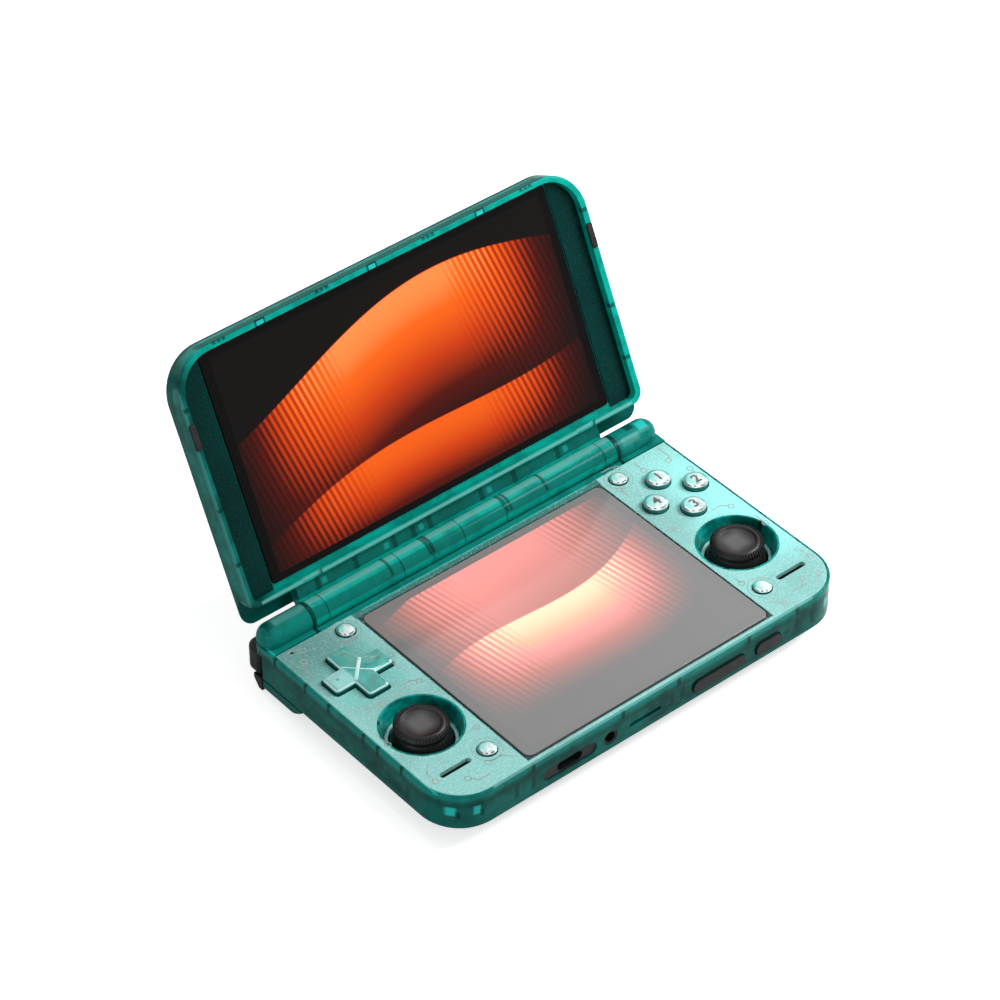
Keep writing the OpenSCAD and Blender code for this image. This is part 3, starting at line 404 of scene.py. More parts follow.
@dataclass(frozen=True)
class Finish:
    """A finish in one colour with the grain of its mould.

    Attributes:
        name: the material's name.
        colour: its base colour.
        rough: its roughness.
        metal: 1 for metal.
        coat: weight of a clear coat.
        coat_rough: roughness of the coat.
        grain_scale: grains in a metre.
        grain_depth: depth of the grain in metres.
        spread: least and greatest roughness over the grain, as shares of the roughness.
        vary: how far the colour drifts over the piece.
        gloss: level of its mirror gloss, 0.5 for common plastic.
        marks: what shows through its surface, and painted light and shade.
    """

    name: str
    colour: Colour
    rough: float = 0.45
    metal: float = 0.0
    coat: float = 0.0
    coat_rough: float = 0.08
    grain_scale: float = 3500.0
    grain_depth: float = 0.01 * MM
    spread: tuple[float, float] = (0.85, 1.15)
    vary: float = 0.12
    gloss: float = 0.5
    marks: Marks = Marks()

    def body_colour(self, s: Sketch) -> Output:
        """Returns the colour, drifting a little over the piece."""
        drift = Effect.MOTTLE.mask(s, Scale=90.0)
        colour = s.blend(drift, shade(self.colour, 1.0 - self.vary), shade(self.colour, 1.0 + self.vary))
        return self.marks.lay(s, colour)

    def values(self) -> dict[str, object]:
        """Returns the shader's values that are the same all over the piece."""
        return {"Metallic": self.metal, "Specular IOR Level": self.gloss, "Coat Weight": self.coat,
                "Coat Roughness": self.coat_rough}

    def surface(self, s: Sketch, shader: bpy.types.Node) -> None:
        """Gives the shader its roughness and the bumps of its grain."""
        fine = Effect.GRAIN.mask(s, Scale=self.grain_scale)
        least, most = (self.rough * share for share in self.spread)
        s.put(shader.inputs["Roughness"], s.span(fine, 0.3, 0.7, least, most))
        bump = s.add("ShaderNodeBump")
        s.put(bump.inputs["Strength"], 1.0)
        s.put(bump.inputs["Distance"], self.grain_depth)
        s.put(bump.inputs["Height"], fine)
        s.put(shader.inputs["Normal"], bump.outputs[0])

    def make(self) -> Material:
        """Builds the material."""
        material = bpy.data.materials.new(self.name)
        material.use_nodes = True
        s = Sketch(material.node_tree)
        shader = material.node_tree.nodes["Principled BSDF"]
        s.put(shader.inputs["Base Color"], self.body_colour(s))
        for label, value in self.values().items():
            s.put(shader.inputs[label], value)
        self.surface(s, shader)
        return material


@dataclass(frozen=True)
class ClearPlastic(Finish):
    """Tinted clear plastic with thick and thin places, and painted light towards one end.

    Attributes:
        deep: the colour of its thick places.
        shine: the colour of its thinnest places.
        bright: the colour of the painted light at its lighter end, None where there is none.
        clear: share of the light that passes through.
        cloud: wide clouds in a metre.
        axis: direction along which the painted light grows.
        start_at: place along the axis where it starts to brighten.
        end_at: place along the axis where it is brightest.
    """

    coat_rough: float = 0.05
    spread: tuple[float, float] = (0.8, 1.2)
    deep: Colour = (0.0, 0.08, 0.065)
    shine: Colour = (0.05, 0.5, 0.45)
    bright: Colour | None = None
    clear: float = 0.1
    cloud: float = 70.0
    axis: Point = (0.0, 0.0, 1.0)
    start_at: float = 0.0
    end_at: float = 20.0 * MM

    def body_colour(self, s: Sketch) -> Output:
        """Returns the colour of thick and thin places, with painted light at one end and the marks on top."""
        wide = Effect.MOTTLE.mask(s, Scale=self.cloud)
        close = Effect.MOTTLE.mask(s, Scale=self.cloud * 3.7)
        thick = s.plus(s.times(wide, 0.6), s.times(close, 0.4))
        colour = s.ramp(thick, ((0.1, self.shine), (0.5, self.colour), (0.9, self.deep)))
        # Painted light, growing along the axis.
        if self.bright:
            along = s.measures((0.0, 0.0, 0.0), (self.axis,))[0]
            share = s.times(s.span(along, self.start_at, self.end_at), s.span(thick, 0.2, 0.9, 1.0, 0.6))
            colour = s.blend(share, colour, self.bright)
        return self.marks.lay(s, colour)

    def values(self) -> dict[str, object]:
        """Returns the shader's values that are the same all over the piece."""
        return {**super().values(), "Transmission Weight": self.clear, "IOR": 1.5,
                "Specular Tint": (0.3, 1.0, 0.92, 1.0)}


@dataclass(frozen=True)
class DeckFilm(Finish):
    """Frosted deck with glitter in it.

    Attributes:
        spark: colour of the glitter.
    """

    coat_rough: float = 0.12
    spread: tuple[float, float] = (0.75, 1.2)
    spark: Colour = (0.75, 1.0, 0.95)

    def body_colour(self, s: Sketch) -> Output:
        """Returns the colour of the film with its clouds, marks, specks and glitter."""
        cloud = Effect.MOTTLE.mask(s, Scale=45.0)
        colour = self.marks.lay(s, s.blend(cloud, self.colour, shade(self.colour, 0.8)))
        speckle = Effect.MOTTLE.mask(s, Scale=1500.0)
        colour = s.blend(s.times(speckle, 0.22), colour, shade(self.colour, 0.35))
        glitter = Effect.SPARKLE.mask(s, Scale=2600.0, Share=0.3)
        return s.blend(s.times(glitter, 0.6), colour, self.spark)


@dataclass(frozen=True)
class Wave:
    """One wave across a picture.

    Attributes:
        level: height of its crest line, from -1 to 1.
        swing: height of its swing.
        turns: waves across the width.
        phase: where it starts.
        tilt: how far it climbs from the middle to the right.
        fade: how deep its glow reaches below the crest.
        glow: brightness at the crest.
    """

    level: float
    swing: float
    turns: float
    phase: float
    tilt: float
    fade: float
    glow: float

    def paint(self, s: Sketch, under: Socket, u: Output, v: Output) -> Output:
        """Lays the wave over what is behind it.

        Args:
            s: the material's tree.
            under: brightness behind the wave.
            u: place across the picture.
            v: place up the picture.

        Returns:
            The new brightness.
        """
        angle = s.plus(s.times(u, math.pi * self.turns), self.phase)
        crest = s.plus(s.times(s.math("SINE", angle), self.swing), self.level)
        depth = s.minus(s.plus(crest, s.times(u, self.tilt)), v)
        on = s.span(depth, -0.004, 0.012)
        light = s.times(s.span(depth, 0.0, self.fade, 1.0, 0.0), self.glow)
        return s.plus(s.times(under, s.minus(1.0, on)), s.times(light, on))


@dataclass(frozen=True)
class ScreenGlass(Finish):
    """Polished glass over a lit picture of layered waves.

    Attributes:
        middle: the picture's middle.
        up: direction of its height, where its width runs along X.
        size: its width and height.
        waves: the waves, from the rear one to the front one.
        stops: colours of the brightness, from dark to bright.
        power: strength of the light.
        ribs: angle that the sine of the upright ribs reaches at the picture's side, in radians.
        side_fade: place along half of the width where the sides start to darken.
    """

    middle: Point = (0.0, 0.0, 0.0)
    up: Point = (0.0, 1.0, 0.0)
    size: Spot = (100.0 * MM, 60.0 * MM)
    waves: tuple[Wave, ...] = ()
    stops: tuple[tuple[float, Colour], ...] = ()
    power: float = 1.0
    ribs: float = 0.0
    side_fade: float = 0.55

    def picture(self, s: Sketch) -> Output:
        """Returns the picture's colour, black beyond its sides."""
        across, along = s.measures(self.middle, ((1.0, 0.0, 0.0), self.up))
        u = s.math("DIVIDE", across, self.size[0] / 2)
        v = s.math("DIVIDE", along, self.size[1] / 2)
        light: Socket = 0.0
        for wave in self.waves:
            light = wave.paint(s, light, u, v)
        aside = s.size(u)
        ridge = s.math("SINE", s.times(s.plus(u, s.times(v, 0.12)), self.ribs))
        near_side = s.span(aside, self.side_fade - 0.25, self.side_fade + 0.1)
        light = s.times(light, s.minus(1.0, s.times(s.span(ridge, -1.0, 1.0, 0.5, 0.0), near_side)))
        light = s.times(light, s.span(aside, self.side_fade, 1.02, 1.0, 0.05))
        inside = s.times(s.math("LESS_THAN", aside, 1.0), s.math("LESS_THAN", s.size(v), 1.0))
        return s.blend(inside, (0.0, 0.0, 0.0), s.ramp(light, self.stops))

    def body_colour(self, s: Sketch) -> tuple[float, ...]:
        """Returns the colour of the glass, the same all over."""
        return (*self.colour, 1.0)

    def values(self) -> dict[str, object]:
        """Returns the shader's values that are the same all over the piece."""
        return {"Specular IOR Level": self.gloss, "Emission Strength": self.power}

    def surface(self, s: Sketch, shader: bpy.types.Node) -> None:
        """Gives the shader its picture and a few smears."""
        s.put(shader.inputs["Emission Color"], self.picture(s))
        smear = Effect.MOTTLE.mask(s, Scale=35.0)
        s.put(shader.inputs["Roughness"], s.span(smear, 0.0, 1.0, self.rough, self.rough * 1.6))


# Modelling helpers


def deselect() -> None:
    """Leaves nothing selected and no object active."""
    for o in bpy.context.selected_objects:
        o.select_set(False)
    bpy.context.view_layer.objects.active = None


def only(*objs: Piece) -> None:
    """Selects only these objects and makes the first one active."""
    deselect()
    for o in objs:
        o.select_set(True)
    bpy.context.view_layer.objects.active = objs[0]


@contextmanager
def editing(obj: Piece) -> Iterator[None]:
    """Holds an object in edit mode."""
    only(obj)
    bpy.ops.object.mode_set(mode="EDIT")
    yield
    bpy.ops.object.mode_set(mode="OBJECT")


def fix(obj: Piece, at: Point = (0.0, 0.0, 0.0), turn: Point = (0.0, 0.0, 0.0)) -> None:
    """Moves and turns an object and puts that, with its scale, into its mesh."""
    obj.location = at
    obj.rotation_euler = turn
    only(obj)
    bpy.ops.object.transform_apply(location=True, rotation=True, scale=True)


def settle(obj: Piece, name: str, material: Material) -> Piece:
    """Puts a piece's place into its mesh and gives it its name and material.

    Args:
        obj: the piece.
        name: its name.
        material: its only material.

    Returns:
        The piece.
    """
    bpy.context.view_layer.update()
    obj.data.transform(obj.matrix_world)
    obj.matrix_world = Matrix.Identity(4)
    obj.name = name
    obj.data.name = name
    obj.data.materials.clear()
    obj.data.materials.append(material)
    return obj


def smooth(obj: Piece, degrees: float) -> None:
    """Shades a piece smooth up to an angle."""
    only(obj)
    bpy.ops.object.shade_smooth_by_angle(angle=math.radians(degrees))


def pick(obj: Piece, kind: str, test: Callable[[bmesh.types.BMFace | bmesh.types.BMEdge], bool]) -> None:
    """Selects only the parts of a mesh in edit mode that pass a test.

    Args:
        obj: the piece.
        kind: which parts, faces or edges.
        test: says which ones to select.
    """
    mesh = bmesh.from_edit_mesh(obj.data)
    for part in (*mesh.faces, *mesh.edges, *mesh.verts):
        part.select = False
    for part in [p for p in getattr(mesh, kind) if test(p)]:
        part.select = True
    bmesh.update_edit_mesh(obj.data)


def apply_modifiers(obj: Piece) -> None:
    """Applies every modifier of a piece, in order."""
    only(obj)
    for modifier in list(obj.modifiers):
        bpy.ops.object.modifier_apply(modifier=modifier.name)


def join(objs: list[Piece]) -> Piece:
    """Joins objects into the first one and returns it."""
    only(*objs)
    bpy.ops.object.join()
    return objs[0]


def revolve(profile: list[Spot], steps: int) -> Piece:
    """Spins a profile round the Z axis.

    Args:
        profile: radius and height of each point, from the bottom to the top.
        steps: steps round the axis.

    Returns:
        The new object.
    """
    deselect()
    bpy.ops.mesh.primitive_plane_add(size=1.0)
    obj = bpy.context.active_object
    with editing(obj):
        bpy.ops.mesh.delete(type="VERT")
        mesh = bmesh.from_edit_mesh(obj.data)
        points = [mesh.verts.new((r, 0.0, z)) for r, z in profile]
        for a, b in zip(points, points[1:]):
            mesh.edges.new((a, b))
        for piece in (*mesh.verts, *mesh.edges):
            piece.select = True
        bmesh.update_edit_mesh(obj.data)
        bpy.ops.mesh.spin(steps=steps, angle=2 * math.pi, center=(0, 0, 0), axis=(0, 0, 1))
        bpy.ops.mesh.select_all(action="SELECT")
        bpy.ops.mesh.remove_doubles(threshold=1e-7)
        bpy.ops.mesh.normals_make_consistent(inside=False)
    return obj


def block(size: Point, edge: float) -> Piece:
    """Adds a box with bevelled edges.

    Args:
        size: its three lengths.
        edge: width of the bevel.

    Returns:
        The new object.
    """
    deselect()
    bpy.ops.mesh.primitive_cube_add(size=1.0)
    obj = bpy.context.active_object
    obj.scale = size
    fix(obj)
    with editing(obj):
        bpy.ops.mesh.select_all(action="SELECT")
        bpy.ops.mesh.bevel(offset=edge, segments=2, affect="EDGES")
    return obj


# The console's own measures

CROSS_X, CROSS_Y = -60.5, 14.2  # middle of the cross in millimetres


@dataclass(frozen=True)
class Layout:
    """Places of the main parts in the console's frame.

    Attributes:
        hinge_y: place of the hinge axis from front to rear.
        hinge_z: height of the hinge axis.
        deck_z: height of the deck.
        lean: how far the open lid leans back.
        screen_z: place of the upper picture, out of the lid.
        upper_start: distance of the upper glass from the hinge axis.
        upper_h: height of the upper glass.
        lower_start: distance of the lower glass from the hinge axis.
        lower_d: depth of the lower glass.
    """

    hinge_y: float = 41.2 * MM
    hinge_z: float = 19.4 * MM
    deck_z: float = 17.9 * MM
    lean: float = math.radians(25.9)
    screen_z: float = -1.8 * MM
    upper_start: float = 12.7 * MM
    upper_h: float = 71.3 * MM
    lower_start: float = 9.4 * MM
    lower_d: float = 74.6 * MM

    @property
    def hinge(self) -> Point:
        """Middle of the hinge axis."""
        return (0.0, self.hinge_y, self.hinge_z)

    @property
    def lid_up(self) -> Vector:
        """Direction along the open lid, away from the hinge."""
        return Vector((0.0, math.sin(self.lean), math.cos(self.lean)))

    @property
    def lid_out(self) -> Vector:
        """Direction out of the upper screen."""
        return Vector((0.0, -math.cos(self.lean), math.sin(self.lean)))

    def on_lid(self, along: float, out: float) -> Point:
        """Returns a place on the lid's middle line, counted from the hinge axis."""
        return tuple(Vector(self.hinge) + self.lid_up * along + self.lid_out * out)


LAYOUT = Layout()

# Marks of each clear piece in millimetres: parts that show through, and painted light and shade; on the lid
# the measures run along the hinge, up the lid and out of its screen.
# Pale tone of the painted highlights
HIGHLIGHT = (0.16, 0.42, 0.39)
CYAN = (0.02, 0.55, 0.50)
SHADE = (0.002, 0.07, 0.06)
GLOOM = (0.001, 0.05, 0.042)

SHELL_MARKS = Marks((
    # Shadow line below the bright border, then ribs behind the front, left and right walls
    Mark((0.0, 0.0, 14.3), (None, None, 0.5), (0.003, 0.045, 0.038), 0.7, 0.55),
    *(Mark((x, -45.0, 16.6), (0.5, 2.4, 1.5)) for x in (-46.0, -13.0, 8.0, 35.0, 54.0)),
    *(Mark((-74.2, y, 16.6), (2.4, 0.45, 1.5)) for y in (34.0, 20.0, 9.3, -6.3, -12.7, -23.2)),
    *(Mark((74.2, y, 16.6), (2.4, 0.45, 1.5)) for y in (30.0, 12.0, -8.0, -24.0)),
    # Bright posts in the front corners with their shadows
    Mark((-65.6, -44.0, 12.2), (0.5, 2.2, 1.1), CYAN, 0.9, 0.75),
    Mark((-64.2, -44.6, 10.8), (0.35, 1.6, 1.0), share=0.8),
    Mark((-71.7, -40.2, 12.2), (0.5, 2.2, 1.1), CYAN, 0.9, 0.75),
    Mark((-70.3, -41.6, 10.8), (0.35, 1.6, 1.0), share=0.8),
    Mark((66.6, -43.6, 12.0), (0.5, 2.2, 1.2), CYAN, 0.9, 0.6),
    # Painted highlights along the deck's left and front edges, and dark ribs low in the front wall
    Mark((-73.9, 0.0, 17.9), (0.22, 40.0, 0.5), (0.02, 0.45, 0.38), 0.2, 0.8),
    Mark((0.0, -45.1, 17.5), (60.0, 0.2, 0.5), HIGHLIGHT, 0.35, 0.7),
    *(Mark((x, -46.0, 11.0), (0.6, 1.5, 2.2), share=0.6) for x in (-52.0, -46.0, 5.5, 9.5, 54.0, 60.0)),
    # Glints, shadows and seams of the two knuckles
    Mark((-64.5, 41.6, 23.4), (5.5, 0.7, 1.2), HIGHLIGHT, 1.4, 0.35),
    Mark((63.5, 38.2, 23.0), (3.0, 0.4, 2.0), HIGHLIGHT, 0.8, 0.3),
    Mark((69.5, 40.6, 22.6), (1.3, 1.2, 3.0), CYAN, 0.7, 0.8),
    Mark((65.5, 41.8, 23.0), (1.1, 1.0, 3.0), GLOOM, 0.7),
    Mark((-71.4, 41.5, 22.6), (1.0, 1.4, 3.0), GLOOM, 0.8, 0.7),
    *(Mark((side.value * 58.3, 40.0, 21.0), (0.35, 5.0, 5.0), share=0.9) for side in Side),
))
LID_MARKS = Marks((
    # Painted shade in the apron with painted highlights along its edges, and the plain top of the barrel
    Mark((0.0, 6.8, -1.0), (None, 1.7, 3.2), SHADE, 0.8, 0.75),
    Mark((0.0, 4.0, 1.2), (57.0, 0.5, 0.8), HIGHLIGHT, 0.9, 0.6),
    Mark((0.0, 1.0, 4.2), (57.0, 1.3, 1.2), (0.002, 0.10, 0.083), 0.9, 0.75),
    Mark((0.0, 10.3, 0.4), (70.0, 0.25, 0.6), HIGHLIGHT, 0.4, 0.8),
    # Ribs and bright gaps in the apron, and seams of the barrel
    *(Mark((x, 7.0, -1.0), (0.7, 2.2, 3.0), share=0.6)
      for x in (-50.0, -36.0, -21.8, -14.6, -8.4, 11.3, 24.0, 41.0)),
    *(Mark((x, 6.6, -1.0), (0.4, 0.5, 3.0), CYAN, 0.9, 0.4) for x in (-47.6, -24.6, -11.6, 14.4, 44.0)),
    *(Mark((x, 3.2, 2.0), (0.3, 3.0, 3.0), share=0.7) for x in (-14.8, -13.4, 14.7, 16.1, -29.0, 30.0)),
    # Painted shade along the far rim with a painted highlight on its edge, and the left rim
    Mark((0.0, 86.9, 0.0), (68.0, 0.3, 2.5), SHADE, 0.3, 0.8),
    Mark((0.0, 88.3, 0.0), (66.0, 0.6, 3.0), (0.62, 0.76, 0.74), 0.3, 0.85),
    Mark((-74.3, 45.0, 0.0), (0.4, 36.0, 2.5), (0.05, 0.20, 0.18), 0.4, 0.7),
    # Clips, pips and seams in the rim
    *(Mark((x, 85.6, 0.5), (1.7, 0.95, 1.5), soft=0.25) for x in (-42.5, -2.2, 38.0)),
    *(Mark((x, 85.6, 0.5), (1.1, 0.5, 1.5), CYAN, 0.25, 0.9) for x in (-42.5, -2.2, 38.0)),
    *(Mark((x + 1.7 * i, 86.2, 0.5), (0.5, 0.35, 1.5), soft=0.25, share=0.7)
      for x in (-58.5, -22.0, 17.0, 54.0) for i in range(3)),
    *(Mark((side.value * 73.4, u, 0.5), (0.8, 0.5, 1.5), soft=0.3, share=0.7)
      for side in Side for u in (24.0, 41.0, 72.0)),
), LAYOUT.hinge, ((1.0, 0.0, 0.0), tuple(LAYOUT.lid_up), tuple(LAYOUT.lid_out)))
DECK_MARKS = Marks((
    # Painted shade in the gap round the lower glass, and the strip before the barrel with its bright line
    Mark((0.0, -5.5, 17.0), (46.2, 38.0, None), (0.002, 0.035, 0.031), 0.25, 1.0),
    Mark((0.0, 37.0, 17.0), (46.5, 4.6, None), (0.012, 0.12, 0.105), 0.5, 0.9),
    Mark((0.0, 34.6, 17.0), (43.0, 0.3, None), (0.03, 0.42, 0.37), 0.4, 0.8),
    # Light round the cross, shade in the rear left corner, light at the right
    Mark((CROSS_X, CROSS_Y, 17.0), (8.6, 8.6, None), (0.12, 0.62, 0.56), 4.0, 0.35),
    Mark((-68.0, 34.0, 17.0), (5.0, 6.0, None), (0.09, 0.25, 0.23), 22.0, 0.75),
    Mark((74.0, 2.0, 17.0), (3.0, 16.0, None), (0.36, 0.98, 0.95), 22.0, 0.7),
))
CROSS_MARKS = Marks((
    # Painted highlights on the left arm and sloped border, painted shade at the root, a dot on each arm
    Mark((CROSS_X - 6.9, CROSS_Y, 20.0), (3.2, 3.4, 0.4), (0.36, 0.72, 0.70), 1.2, 0.8),
    Mark((0.0, 0.0, 19.35), (None, None, 0.16), (0.70, 0.92, 0.90), 0.12, 0.85),
    Mark((0.0, 0.0, 18.1), (None, None, 0.5), SHADE, 0.3, 0.9),
    *(Mark((CROSS_X + dx, CROSS_Y + dy, 20.0), (0.3, 0.3, 0.4), (0.16, 0.20, 0.18), 0.3, 0.8)
      for dx, dy in ((-7.2, 0.0), (7.2, 0.0), (0.0, -7.2), (0.0, 7.2))),
))
# Grey painted highlight in the middle of each stick's dish, then dark dots in the wells
DISH_MARKS = Marks(tuple(
    Mark((side.value * 59.8, -13.2, 18.4), (1.4, 1.4, 1.6), (0.10, 0.10, 0.10), 4.0, 0.9) for side in Side))
WELL_MARKS = Marks(tuple(
    Mark((x, y, 16.0), (0.55, 0.55, 2.0))
    for x, y in ((69.5, -4.6), (71.2, -6.6), (71.6, -11.3), (-52.0, -2.9), (-68.6, -5.2), (49.6, -20.0))))

# Painted light in the bright colours: wall tops, the lid but its left end, tops of the cross and buttons
SHELL = ClearPlastic("clear_shell", (0.002, 0.080, 0.067), rough=0.14, coat=0.05, gloss=0.05, clear=0.04,
                     deep=(0.001, 0.045, 0.038), shine=(0.003, 0.12, 0.10), bright=(0.004, 0.20, 0.17),
                     start_at=15.2 * MM, end_at=17.0 * MM, marks=SHELL_MARKS, grain_depth=0.002 * MM)
LID = ClearPlastic("clear_lid", (0.002, 0.10, 0.085), rough=0.14, coat=0.05, gloss=0.05, clear=0.04,
                   deep=(0.001, 0.06, 0.05), shine=(0.003, 0.15, 0.13), bright=(0.002, 0.36, 0.29),
                   axis=(1.0, 0.0, 0.0), start_at=-72.0 * MM, end_at=-64.0 * MM, marks=LID_MARKS,
                   grain_depth=0.002 * MM)
COVER = ClearPlastic("clear_cover", (0.002, 0.095, 0.08), rough=0.16, coat=0.05, gloss=0.05, clear=0.04,
                     deep=(0.001, 0.084, 0.071), shine=(0.003, 0.108, 0.092), grain_depth=0.002 * MM)
WELL = ClearPlastic("clear_well", (0.002, 0.21, 0.18), rough=0.2, coat=0.05, gloss=0.06, clear=0.04,
                    deep=(0.001, 0.12, 0.10), shine=(0.003, 0.36, 0.32), cloud=120.0, marks=WELL_MARKS)
DECK = DeckFilm("deck_film", (0.28, 0.61, 0.58), rough=0.42, coat=0.04, gloss=0.2, grain_depth=0.03 * MM,
                grain_scale=5000.0, marks=DECK_MARKS)
CLEAR_BUTTON = ClearPlastic("clear_button", (0.004, 0.13, 0.115), rough=0.04, coat=0.6, gloss=0.4,
                            deep=(0.002, 0.08, 0.07), shine=(0.008, 0.18, 0.16), bright=(0.74, 0.86, 0.86),
                            cloud=160.0, grain_depth=0.001 * MM)
CROSS = ClearPlastic("cross_plastic", (0.01, 0.24, 0.21), rough=0.05, coat=0.7, gloss=0.4,
                     deep=(0.005, 0.17, 0.15), shine=(0.02, 0.32, 0.29), bright=(0.08, 0.42, 0.38),
                     start_at=18.4 * MM, end_at=19.8 * MM, cloud=90.0, marks=CROSS_MARKS,
                     grain_depth=0.001 * MM)
BLACK = Finish("black_plastic", (0.012, 0.015, 0.015), rough=0.32, coat=0.02, vary=0.3, gloss=0.12)
STICK = Finish("stick_rubber", (0.010, 0.010, 0.010), rough=0.38, grain_depth=0.02 * MM, vary=0.3, gloss=0.25,
               marks=DISH_MARKS)
RUBBER = Finish("black_rubber", (0.015, 0.015, 0.016), rough=0.7, grain_depth=0.02 * MM, vary=0.3, gloss=0.2)
STRIP = DeckFilm("dark_trim", (0.001, 0.030, 0.027), rough=0.3, coat=0.03, gloss=0.03,
                 spark=(0.01, 0.10, 0.095))
LIGHT_GUIDE = ClearPlastic("light_guide", (0.45, 0.85, 0.82), rough=0.1, coat=0.3, gloss=0.3,
                           deep=(0.3, 0.7, 0.66), shine=(0.7, 0.95, 0.92))
BOARD = Finish("board", (0.01, 0.12, 0.08), rough=0.5, coat=0.3)
FOIL = Finish("battery_foil", (0.05, 0.05, 0.055), rough=0.4)
STEEL = Finish("steel", (0.55, 0.55, 0.57), rough=0.28, metal=1.0)
ALUMINIUM = Finish("aluminium", (0.62, 0.63, 0.65), rough=0.35, metal=1.0)
COPPER = Finish("copper", (0.72, 0.36, 0.22), rough=0.3, metal=1.0)
MAT = Finish("membrane", (0.12, 0.12, 0.13), rough=0.7)
RIBBON = Finish("ribbon", (0.3, 0.12, 0.02), rough=0.35)
TRACE = Finish("trace_print", (0.33, 0.34, 0.325), rough=0.4, gloss=0.1)
INK = Finish("button_ink", (0.09, 0.11, 0.115), rough=0.4, gloss=0.2)
UPPER_GLASS = ScreenGlass(
    "upper_screen", (0.004, 0.004, 0.004), rough=0.05, gloss=0.05, power=1.1, ribs=190.0,
    middle=LAYOUT.on_lid(LAYOUT.upper_start + LAYOUT.upper_h / 2, LAYOUT.screen_z),
    up=tuple(LAYOUT.lid_up), size=(121.0 * MM, 67.0 * MM),
    waves=(Wave(0.52, 0.30, 0.62, 1.15, 0.10, 1.5, 0.95), Wave(-0.50, 0.16, 0.70, 2.6, 0.30, 0.8, 0.75)),
    stops=((0.0, (0.004, 0.002, 0.002)), (0.2, (0.09, 0.004, 0.001)), (0.5, (0.60, 0.045, 0.002)),
           (0.8, (0.95, 0.13, 0.006)), (1.0, (1.0, 0.33, 0.09))))
LOWER_GLASS = ScreenGlass(
    "lower_screen", (0.19, 0.195, 0.195), rough=0.06, gloss=0.45, power=0.95, ribs=130.0,
    middle=(0.0, LAYOUT.hinge_y - LAYOUT.lower_start - LAYOUT.lower_d / 2, 0.0), size=(85.0 * MM, 69.0 * MM),
    waves=(Wave(1.25, 0.10, 0.6, 0.6, 0.25, 2.2, 0.62), Wave(0.30, 0.26, 0.62, 3.5, 0.42, 1.0, 1.0)),
    stops=((0.0, (0.01, 0.008, 0.008)), (0.3, (0.45, 0.06, 0.03)), (0.6, (0.95, 0.20, 0.17)),
           (0.82, (1.0, 0.42, 0.20)), (1.0, (1.0, 0.74, 0.42))))


def dome_button(node: str) -> ClearPlastic:
    """Returns the finish of one domed clear button, with painted highlights and dark reflections."""
    low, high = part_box(node)
    centre = ((low[0] + high[0]) / 2 / MM, (low[1] + high[1]) / 2 / MM)
    r = (high[0] - low[0]) / 2 / MM
    dark_reflection = (0.001, 0.012, 0.011)
    # Painted cyan glow and teal band at the rear, white highlight at the front left, dark reflections at the
    # rim
    arcs = (
        Arc(centre, 0.50 * r, 0.34 * r, 150.0, 0.25, (0.26, 0.84, 0.76), 0.75),
        Arc(centre, 0.88 * r, 0.20 * r, 75.0, -0.2, (0.004, 0.40, 0.34)),
        Arc(centre, 0.84 * r, 0.16 * r, -130.0, 0.3, (0.97, 1.0, 1.0)),
        Arc(centre, 0.90 * r, 0.12 * r, -178.0, 0.84, dark_reflection),
        Arc(centre, 0.85 * r, 0.12 * r, -84.0, 0.84, dark_reflection),
        Arc(centre, 0.84 * r, 0.11 * r, -134.0, 0.975, dark_reflection),
    )
    return replace(CLEAR_BUTTON, name=f"clear_{node}", start_at=high[2] - 0.9 * MM,
                   end_at=high[2] - 0.5 * MM, marks=Marks(arcs))


class Wardrobe:
    """Makes each finish once and dresses the frame's own nodes."""

    by_slot: dict[str, Finish] = {
        "clear_shell": SHELL, "deck_film": DECK, "clear_button": CLEAR_BUTTON, "cross_plastic": CROSS,
        "black_plastic": BLACK, "stick_rubber": STICK, "screen_glass": UPPER_GLASS, "display": BLACK,
        "dark_trim": STRIP, "light_guide": LIGHT_GUIDE, "board": BOARD, "battery_foil": FOIL, "steel": STEEL,
        "aluminium": ALUMINIUM, "copper": COPPER, "membrane": MAT, "black_rubber": RUBBER, "ribbon": RIBBON,
    }
    by_node: dict[str, Finish] = {
        "lid_frame": LID, "bottom_cover": COVER, "lid_back_cover": COVER, "lower_glass": LOWER_GLASS,
        "stick_well_left": WELL, "stick_well_right": WELL,
        **{node: dome_button(node) for node in sorted(frame["nodes"])
           if node.startswith(("face_button_", "small_button_"))},
    }

    def __init__(self) -> None:
        """Starts with no finish made."""
        self.made: dict[str, Material] = {}

    def of(self, finish: Finish) -> Material:
        """Returns a finish's material, made at its first use."""
        if finish.name not in self.made:
            self.made[finish.name] = finish.make()
        return self.made[finish.name]

    def dress(self) -> None:
        """Gives every node of the frame its finish."""
        parts = frame["record"]["subparts"]
        for part in parts:
            finish = self.by_node.get(part["node"], self.by_slot[part["material_slot"]])
            data = frame["nodes"][part["node"]].data
            data.materials.clear()
            data.materials.append(self.of(finish))
        LOG.info("dressed %d nodes in %d finishes", len(parts), len(self.made))


# Pieces


